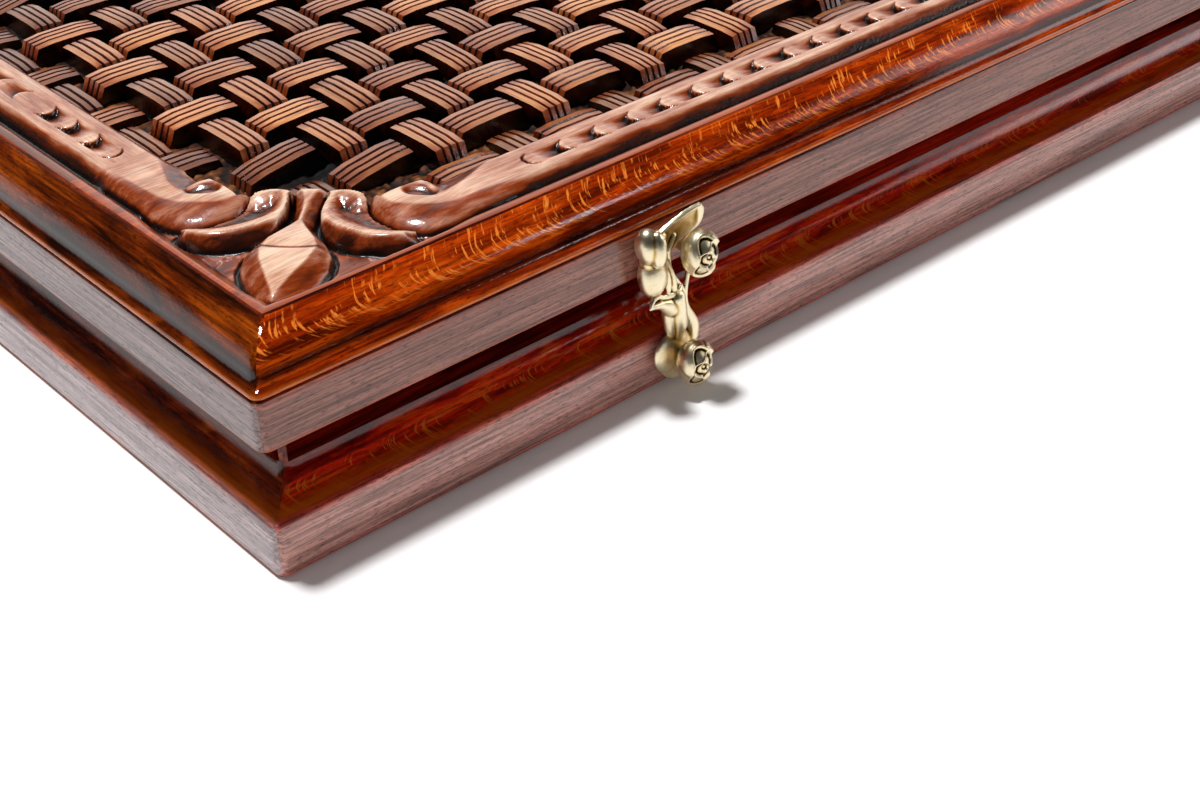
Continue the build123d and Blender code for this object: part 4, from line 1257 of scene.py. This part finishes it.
def add_petal(x, upper, lower, hollow, thickness=1.3):
    """A leaf between an upper and a lower edge of (u, v, w) places, hollowed between them."""
    bpy.ops.object.select_all(action="DESELECT")
    bpy.ops.mesh.primitive_grid_add(x_subdivisions=30, y_subdivisions=12, size=1)
    leaf = bpy.context.object
    edges = [np.array([[*q, 0.0] for q in edge], float) for edge in (upper, lower)]
    for vertex in leaf.data.vertices:
        along, across = vertex.co.x + 0.5, vertex.co.y + 0.5
        ends = []
        for edge in edges:
            at = along * (len(edge) - 1)
            ends.append([np.interp(at, range(len(edge)), edge[:, k]) for k in range(3)])
        u, v, w = (ends[0][k] * across + ends[1][k] * (1 - across) for k in range(3))
        tip_fade = math.sin(math.pi * min(along * 1.1 + 0.05, 1.0)) ** 0.5
        w -= hollow * math.sin(math.pi * across) ** 0.8 * tip_fade
        vertex.co = brass_place(u, v, w, x)
    wall = leaf.modifiers.new("wall", "SOLIDIFY")
    wall.thickness = thickness * mm
    wall.offset = 0
    bpy.ops.object.modifier_apply(modifier=wall.name)
    return leaf


print("the left clasp's pivot is at", [round(c / mm, 1) for c in brass_place(0, 0, 0, clasp_inset)])

# %% [markdown]
# The hook grows like a plant: a broad eye on the pivot, a stem that flares into a trumpet lip, a
# bulb with leaves beside it, a seed head, and a petal that hooks over the catch. The numbers are
# (u, v, w) places and half widths in mm, read off the photo's clasp.

# %% Cast the hooks
def cast_hook(name, node, x, body):
    """The hook of one clasp: eye, stem with a trumpet lip, bulb, leaves, seed head and petal."""
    # The eye is two discs, the lower one square on the pivot.
    parts = [add_pebble(x, 0, 0, 2.3, (7.6, 7.6, 1.75)),
             add_pebble(x, -2.4, 1.6, 2.5, (6.9, 6.6, 1.65))]
    # Two strands of the stem, and the trumpet lip with its rolled edge, out to the left.
    parts += add_vine(x, [(-5.0, 17.5, 3.5, 2.3), (-4.5, 13.5, 3.3, 2.1), (-3.8, 9.8, 3.1, 1.8),
                          (-3.0, 6.8, 2.8, 1.1)])
    parts += add_vine(x, [(-2.4, 18.8, 3.7, 2.9), (-1.7, 14.0, 3.8, 2.8), (-1.0, 9.8, 3.4, 2.5),
                          (-1.3, 6.8, 2.8, 1.7), (-2.3, 4.6, 2.4, 0.6)])
    parts += add_vine(x, [(-4.2, 16.6, 3.6, 2.8), (-6.2, 18.3, 4.1, 2.2), (-8.2, 19.5, 4.6, 1.5),
                          (-10.2, 20.3, 5.2, 1.0), (-12.0, 20.8, 5.6, 0.75),
                          (-13.6, 21.0, 5.9, 0.5)])
    parts += add_vine(x, [(-13.5, 21.2, 5.9, 0.55), (-12.4, 22.7, 5.5, 0.8),
                          (-10.2, 22.9, 5.0, 0.75), (-7.8, 21.8, 4.7, 0.8), (-4.6, 21.0, 4.4, 0.9),
                          (-1.6, 21.0, 4.0, 0.8), (0.0, 21.6, 3.2, 0.6)])
    # The right strand, close to the wood, runs down onto the eye.
    parts += add_vine(x, [(3.4, 23.6, 2.2, 0.8), (2.4, 19.5, 2.3, 0.85), (2.2, 15.5, 2.3, 1.0),
                          (2.8, 12.5, 2.3, 1.4), (4.0, 9.4, 2.2, 2.0), (4.8, 6.6, 2.1, 2.5),
                          (4.8, 3.8, 2.0, 2.5)])
    # The bulb, with two narrow leaves on its right.
    parts.append(add_pebble(x, -10.9, 29.2, 3.8, (4.5, 6.6, 3.2), 0.12))
    parts += add_vine(x, [(-8.0, 32.8, 4.2, 0.8), (-7.1, 28.4, 4.8, 1.25), (-6.2, 24.6, 4.8, 1.1),
                          (-5.9, 21.4, 4.4, 0.5)])
    parts += add_vine(x, [(-5.6, 31.2, 3.4, 0.7), (-4.6, 27.0, 4.0, 1.25), (-3.6, 23.2, 4.1, 1.15),
                          (-3.0, 20.4, 3.8, 0.5)])
    # The neck from the bulb to the petal, and the seed head in front of it.
    parts += add_vine(x, [(-10.8, 31.0, 3.6, 3.0), (-12.2, 36.0, 4.2, 2.8), (-7.6, 38.6, 2.6, 2.4)])
    parts.append(add_pebble(x, -13.2, 39.2, 4.9, (3.7, 5.2, 3.5), 0.16))
    parts.append(add_pebble(x, -11.9, 38.4, 7.0, (2.5, 5.4, 2.5), 0.04))
    # A thin sheath beside the catch joins the petal to the right strand.
    parts += add_vine(x, [(-2.4, 37.4, 3.0, 0.75), (-4.3, 33.8, 3.1, 0.75), (-4.2, 29.6, 3.0, 0.75),
                          (-2.8, 25.8, 2.8, 0.75), (-0.6, 22.4, 2.6, 0.75), (1.8, 18.6, 2.3, 0.75)])
    # The petal over the catch, with the rolled rim of its tip.
    parts.append(add_petal(
        x, [(-8.0, 40.6, 3.3), (-3.8, 42.3, 3.6), (0.4, 43.5, 3.9), (4.0, 44.2, 4.0),
            (6.2, 44.4, 4.0)],
        [(-6.8, 33.8, 2.8), (-3.2, 33.2, 2.8), (0.2, 36.0, 2.9), (4.6, 37.0, 3.0),
         (7.2, 39.8, 3.4)], 1.0))
    parts += add_vine(x, [(5.9, 44.0, 3.9, 0.5), (6.9, 42.4, 3.8, 0.65), (7.0, 40.6, 3.5, 0.7),
                          (6.2, 38.4, 3.2, 0.7), (3.8, 37.1, 3.0, 0.6), (1.0, 36.6, 2.9, 0.5)])
    hook = fuse(parts, name, 0.24, 2)
    mark_relief(hook, 2.4, 0.5)
    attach(hook, body)
    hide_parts(node)
    return hook


clasp_places = (("left", clasp_inset), ("right", case_length - clasp_inset))
brasses = []
for name, x in clasp_places:
    brasses.append(cast_hook(f"cast_{name}_hook", f"{name}_hook", x, f"{name}_hook"))
    print(brasses[-1].name, len(brasses[-1].data.polygons), "faces")

# %% [markdown]
# Each clasp turns and catches on a stud with a rosebud head. A bud is a ball whose radius steps in
# at the edge of each round of petals, so it is modelled by moving a sphere's points in and out. The
# edges wander round the bud, and each is drawn inside the last.

# %% Shape the rosebud studs
# A round of petals: where its edge lies, in radians from the tip, how far that edge wanders, in how
# many petals and turned how far, and how deep the step inside it is.
petal_rounds = ((1.12, 0.26, 3, 0.4, 0.15), (0.72, 0.2, 3, 3.4, 0.13), (0.34, 0.1, 2, 1.0, 0.16))
head_size, head_out, head_limits = (5.4, 6.5, 4.9), 8.9, (4.35, 13.8)


def rosebud_stud(name, node, x, u, v, body):
    """A stud at u, v mm from a clasp's pivot, whose head is a half-open rosebud."""
    bpy.ops.object.select_all(action="DESELECT")
    bpy.ops.mesh.primitive_uv_sphere_add(segments=120, ring_count=80, radius=1)
    bud = bpy.context.object
    co = read_points(bud.data)
    up, turn = np.arccos(np.clip(co[:, 2], -1, 1)), np.arctan2(co[:, 1], co[:, 0])
    # Three outer petals overlap round the sides, each edge standing proud of the next.
    overlap = (turn / (2 * math.pi) * 3 + 0.3 * up) % 1.0
    sides = soft_step(up, 0.8, 1.2) * (1 - soft_step(up, 2.2, 2.8))
    radius = 1.0 + 0.07 * (overlap - soft_step(overlap, 0.93, 1.0)) * sides
    for place_of_edge, wander, petals, shift, drop in petal_rounds:
        rim = place_of_edge + wander * np.cos(petals * turn + shift)
        radius = radius - drop * (1 - soft_step(up - rim, -0.07, 0.02))
        radius = radius + 0.035 * np.exp(-((up - rim - 0.05) / 0.06) ** 2)
    # The furled tip in the middle stands up a little.
    radius = radius + 0.05 * np.exp(-(up / 0.2) ** 2)
    co = co * np.minimum(radius, 1.05)[:, None]
    # The bud faces out of the case, a little to the right and down, as on the real clasp.
    facing = Vector((0.12, -0.1, 0.98)).normalized()
    lean = Vector((0.0, 0.0, 1.0)).rotation_difference(facing).to_matrix()
    right, upward, out = (co @ np.array(lean).T * head_size).T
    out = np.clip(out + head_out, *head_limits)
    coords = np.stack([(x - case_length / 2 + u + right) * mm, (-case_width / 2 - out) * mm,
                       (pivot_height + v + upward) * mm], 1)
    bud.data.vertices.foreach_set("co", coords.ravel())
    bpy.ops.mesh.primitive_cylinder_add(vertices=32, radius=2.0 * mm, depth=16.5 * mm)
    shank = bpy.context.object
    into_wood = Matrix.Translation(brass_place(u, v, -2.75, x))
    shank.data.transform(into_wood @ Matrix.Rotation(math.pi / 2, 4, "X"))
    stud = join([bud, shank], name)
    face_outwards(60)
    mark_relief(stud, 5.0, 1.2)
    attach(stud, body)
    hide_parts(node)
    return stud


for name, x in clasp_places:
    brasses.append(rosebud_stud(f"rosebud_{name}_pivot", f"{name}_pivot_stud", x, 0.0, 0.0, "base"))
    brasses.append(rosebud_stud(f"rosebud_{name}_catch", f"{name}_catch_stud", x, 1.6, 33.2, "lid"))
    print(brasses[-1].name, len(brasses[-1].data.polygons), "faces")

# %% [markdown]
# Antiqued brass is dipped dark, then the high spots are rubbed bright. What "rubbed" does for the
# carving, "relief" does here: it keeps brown in the hollows. The hinges are plain brushed brass,
# and their brush lines run along the case.

# %% Brass finishes
def antique_brass(name, stops, roughness=0.34):
    """Cast brass with dark hollows, rubbed bright on its crests."""
    finish, tree, shader = new_finish(name)
    relief = add_node(tree, "ShaderNodeAttribute", attribute_name="relief")
    spot = add_node(tree, "ShaderNodeTexCoord")
    cloud = add_node(tree, "ShaderNodeTexNoise", {
        "Vector": spot.outputs["Object"], "Scale": 350.0, "Detail": 4.0})
    mixed = add_node(tree, "ShaderNodeMath", {
        0: cloud.outputs["Fac"], 1: 0.25, 2: relief.outputs["Fac"]}, operation="MULTIPLY_ADD")
    body = add_node(tree, "ShaderNodeValToRGB", {"Fac": mixed.outputs[0]}, stops=stops)
    tree.links.new(body.outputs["Color"], shader.inputs["Base Color"])
    # Cast skin: pits about 0.4 mm across, from the sand of the mould.
    pits = add_node(tree, "ShaderNodeTexNoise", {
        "Vector": spot.outputs["Object"], "Scale": 2600.0, "Detail": 2.0})
    skin = add_node(tree, "ShaderNodeBump", {
        "Strength": 0.35, "Distance": 0.00003, "Height": pits.outputs["Fac"]})
    tree.links.new(skin.outputs[0], shader.inputs["Normal"])
    shader.inputs["Metallic"].default_value = 1.0
    shader.inputs["Roughness"].default_value = roughness
    return finish


def brushed_brass(name, dull, bright):
    """Rolled brass sheet brushed along X, with lines a quarter of a millimetre apart."""
    finish, tree, shader = new_finish(name)
    brush = grain_pattern(tree, "X", 30, 0.25, Detail=2.0)
    body = add_node(tree, "ShaderNodeValToRGB", {"Fac": brush}, stops=[(0.3, dull), (0.7, bright)])
    tree.links.new(body.outputs["Color"], shader.inputs["Base Color"])
    lines = add_node(tree, "ShaderNodeBump", {
        "Strength": 0.3, "Distance": 0.00003, "Height": brush})
    tree.links.new(lines.outputs[0], shader.inputs["Normal"])
    shader.inputs["Metallic"].default_value = 1.0
    shader.inputs["Roughness"].default_value = 0.3
    return finish


clasp_finish = antique_brass("antiqued_cast_brass", [
    (0.34, "#2A1808"), (0.7, "#FFF0CC"), (0.54, "#D2AE68")])
hinge_finish = brushed_brass("brushed_hinge_brass", "#A8873E", "#D8B566")
for piece in brasses:
    piece.data.materials.append(clasp_finish)
print(len(brasses), "castings wear", clasp_finish.name)

# %% [markdown]
# Inside, the case is simpler. The bottom and the playing fields are stained board, the points are
# inlaid veneer, and the checkers are turned and polished. Their shapes are already right, so the
# loaded pieces only get their finishes.

# %% Dress the pieces inside
def dress(names, finish):
    """Give loaded pieces a finish on every slot."""
    for name in names:
        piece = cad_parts[name]
        if not piece.data.materials:
            piece.data.materials.append(finish)
        for number in range(len(piece.data.materials)):
            piece.data.materials[number] = finish


# Each wood: its three colours, its figure in mm, its roughness, its lacquer, and its pieces.
inside_woods = {
    "stained_bottom_board": (("#2A0E06", "#431A0B", "#5A2710"), (90, 9), 0.45, 0.1,
                             ["base_bottom_panel"]),
    "stained_playing_field": (("#5A2A12", "#7A3E1C", "#94522A"), (120, 16), 0.35, 0.4,
                              ["base_field_panel", "lid_field_panel"]),
    "maple_veneer": (("#C49A62", "#D2AC76", "#DFBD8A"), (80, 12), 0.32, 0.4,
                     ["base_light_points", "lid_light_points"]),
    "wenge_veneer": (("#120805", "#24120A", "#382014"), (60, 5), 0.32, 0.4,
                     ["base_dark_points", "lid_dark_points"]),
    "turned_maple": (("#BF935C", "#CFA66E", "#DDBA86"), (30, 6), 0.25, 0.6, ["light_checkers"]),
    "turned_walnut": (("#1C0B05", "#33160A", "#4A2412"), (30, 6), 0.25, 0.6, ["dark_checkers"])}
for name, (colours, figure, roughness, coat, wearers) in inside_woods.items():
    finish, _ = lacquered_wood(name, "X", *colours, figure=figure, roughness=roughness, coat=coat)
    dress(wearers, finish)
dress([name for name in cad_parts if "hinge" in name], hinge_finish)

# The dice are polished cast plastic, cream with soft veins about 5 mm apart.
dice_finish, tree, shader = new_finish("polished_cream_plastic")
spot = add_node(tree, "ShaderNodeTexCoord")
veins = add_node(tree, "ShaderNodeTexNoise", {
    "Vector": spot.outputs["Object"], "Scale": 220.0, "Detail": 3.0})
cream = add_node(tree, "ShaderNodeValToRGB", {"Fac": veins.outputs["Fac"]},
                 stops=[(0.3, "#E4DCC4"), (0.7, "#F0EAD8")])
tree.links.new(cream.outputs["Color"], shader.inputs["Base Color"])
shader.inputs["Roughness"].default_value = 0.18
dress(["dice"], dice_finish)
print("dressed", len(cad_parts), "loaded pieces")

# %% [markdown]
# The photo was taken in a white studio. The floor is a plain pale sheet. To the camera and in
# mirrors it glows a little, which makes it pure white there, and it still takes the case's shadow,
# because that glow lights nothing.

# %% White floor
bpy.ops.object.select_all(action="DESELECT")
bpy.ops.mesh.primitive_plane_add(size=12, location=(0, 0, -0.05 * mm))
floor = bpy.context.object
floor.name = "studio_floor"
floor_finish, tree, shader = new_finish("white_studio_floor")
shader.inputs["Base Color"].default_value = (0.94, 0.94, 0.94, 1)
shader.inputs["Roughness"].default_value = 0.9
shader.inputs["Specular IOR Level"].default_value = 0.0
seen = add_node(tree, "ShaderNodeLightPath")
mirrored = add_node(tree, "ShaderNodeMath", {
    0: seen.outputs["Is Glossy Ray"], 1: seen.outputs["Is Transmission Ray"]}, operation="MAXIMUM")
either = add_node(tree, "ShaderNodeMath", {
    0: seen.outputs["Is Camera Ray"], 1: mirrored.outputs[0]}, operation="MAXIMUM")
glow = add_node(tree, "ShaderNodeMath", {0: either.outputs[0], 1: 0.05}, operation="MULTIPLY")
tree.links.new(glow.outputs[0], shader.inputs["Emission Strength"])
shader.inputs["Emission Color"].default_value = (1, 1, 1, 1)
floor.data.materials.append(floor_finish)
print(floor.name, "is", round(floor.dimensions.x), "m wide")

# %% [markdown]
# What the lacquer mirrors matters as much as what lights it: white floor in the upright bands, a
# bright window behind in the flat tops, a second window far to the right, and a dark room
# everywhere else, which leaves the rounded moulding its deep colour. So for glossy rays the white
# world is bright in those directions and dark in the others. The camera sees it plain white, and
# the wood's own colour gets a little light from all round.

# %% The room that the lacquer mirrors
world = bpy.data.worlds.new("white_room")
bpy.context.scene.world = world
world.use_nodes = True
tree = world.node_tree
tree.nodes.clear()
seen = add_node(tree, "ShaderNodeLightPath")
look = add_node(tree, "ShaderNodeTexCoord").outputs["Generated"]


def window(towards, start, full, dark, bright):
    """A bright patch of the room in a direction, from the cosines where it starts and is full."""
    facing = add_node(tree, "ShaderNodeVectorMath", {0: look, 1: towards}, operation="DOT_PRODUCT")
    return add_node(tree, "ShaderNodeMapRange", {
        "Value": facing.outputs["Value"], "From Min": start, "From Max": full,
        "To Min": dark, "To Max": bright}).outputs[0]


behind = window((0.50, 0.80, 0.33), 0.84, 0.97, 0.025, 1.0)
far_right = window((0.86, -0.44, 0.26), 0.945, 0.985, 0.0, 3.2)
height = add_node(tree, "ShaderNodeSeparateXYZ", {"Vector": look})
horizon = add_node(tree, "ShaderNodeMapRange", {
    "Value": height.outputs["Z"], "From Min": 0.03, "From Max": 0.2, "To Min": 1.0, "To Max": 0.0})
windows = add_node(tree, "ShaderNodeMath", {0: behind, 1: far_right}, operation="MAXIMUM")
room = add_node(tree, "ShaderNodeMath", {0: windows.outputs[0], 1: horizon.outputs[0]},
                operation="MAXIMUM")
glossy = add_node(tree, "ShaderNodeMath", {
    0: seen.outputs["Is Glossy Ray"], 1: seen.outputs["Is Transmission Ray"]}, operation="MAXIMUM")
mirrored = add_node(tree, "ShaderNodeMath", {0: glossy.outputs[0], 1: room.outputs[0]},
                    operation="MULTIPLY")
shown = add_node(tree, "ShaderNodeMath", {0: mirrored.outputs[0], 1: seen.outputs["Is Camera Ray"]},
                 operation="MAXIMUM")
lit = add_node(tree, "ShaderNodeMath", {0: seen.outputs["Is Diffuse Ray"], 1: 0.13},
               operation="MULTIPLY")
strength = add_node(tree, "ShaderNodeMath", {0: shown.outputs[0], 1: lit.outputs[0]},
                    operation="MAXIMUM")
back = add_node(tree, "ShaderNodeBackground", {
    "Color": (1, 1, 1, 1), "Strength": strength.outputs[0]})
add_node(tree, "ShaderNodeOutputWorld", {"Surface": back.outputs[0]})
print(world.name, "has", len(tree.nodes), "nodes")

# %% [markdown]
# One soft lamp hangs almost overhead, a little behind the case, and lays a narrow shadow along the
# clasp side. A sun lamp as wide as a softbox lights the floor evenly, so it stands for that one.
# One small low lamp in front only draws glints. And a black card stands in front of the clasp side,
# as a photographer sets one up, where only the gloss sees it.

# %% Card and lamps
bpy.ops.mesh.primitive_plane_add(size=1, location=(-0.45, -0.3, 0.06), rotation=(math.pi / 2, 0, 0))
card = bpy.context.object
card.name = "black_card"
card.scale = (1.1, 0.12, 1)
bpy.ops.object.transform_apply(location=True, rotation=True, scale=True)
card.visible_camera = False
card.visible_diffuse = False
card.visible_shadow = False
card_finish, tree, shader = new_finish("black_card_paper")
shader.inputs["Base Color"].default_value = (0.01, 0.01, 0.01, 1)
shader.inputs["Roughness"].default_value = 1.0
shader.inputs["Specular IOR Level"].default_value = 0.0
card.data.materials.append(card_finish)


def hang(lamp_data, towards, distance, target=(-0.15, -0.08, 0.04)):
    """Hang a lamp in a direction from the case and turn it to the case."""
    holder = bpy.data.objects.new(lamp_data.name, lamp_data)
    bpy.context.scene.collection.objects.link(holder)
    direction = Vector(towards).normalized()
    holder.location = Vector(target) + direction * distance
    holder.rotation_mode = "QUATERNION"
    holder.rotation_quaternion = direction.to_track_quat("Z", "Y")
    return holder


overhead = bpy.data.lights.new("overhead_softbox", "SUN")
overhead.energy = 2.95
overhead.angle = math.radians(6)
hang(overhead, (-0.06, 0.16, 0.985), 3)
glint = bpy.data.lights.new("low_front_glint", "AREA")
glint.size = 0.1
glint.energy = 0.7
hang(glint, (0.54, -0.757, 0.373), 1.8).visible_diffuse = False
print("lamps:", [lamp.name for lamp in bpy.data.lights])

# %% [markdown]
# The camera stands where the photographer's did. Its place, turn and lens were solved from the
# long straight edges of the case.

# %% Camera
turn, pitch, roll = math.radians(40.70), math.radians(34.13), math.radians(-1.66)
stand = Vector((-0.4652, -0.4602, 0.2824))
forward = Vector((math.sin(turn) * math.cos(pitch), math.cos(turn) * math.cos(pitch),
                  -math.sin(pitch)))
level = Vector((math.cos(turn), -math.sin(turn), 0))
upright = level.cross(forward)
right = math.cos(roll) * level + math.sin(roll) * upright
up = -math.sin(roll) * level + math.cos(roll) * upright
lens = bpy.data.cameras.new("photo_camera")
lens.sensor_width = 36
lens.lens = 55.62
lens.clip_start, lens.clip_end = 0.01, 50
camera = bpy.data.objects.new("photo_camera", lens)
bpy.context.scene.collection.objects.link(camera)
camera.matrix_world = Matrix((
    (right.x, up.x, -forward.x, stand.x),
    (right.y, up.y, -forward.y, stand.y),
    (right.z, up.z, -forward.z, stand.z),
    (0, 0, 0, 1)))
bpy.context.scene.camera = camera
bpy.context.scene.view_settings.view_transform = "Standard"
print("camera stands", round((stand - place(0, 0, 33)).length, 2), "m from the near corner")
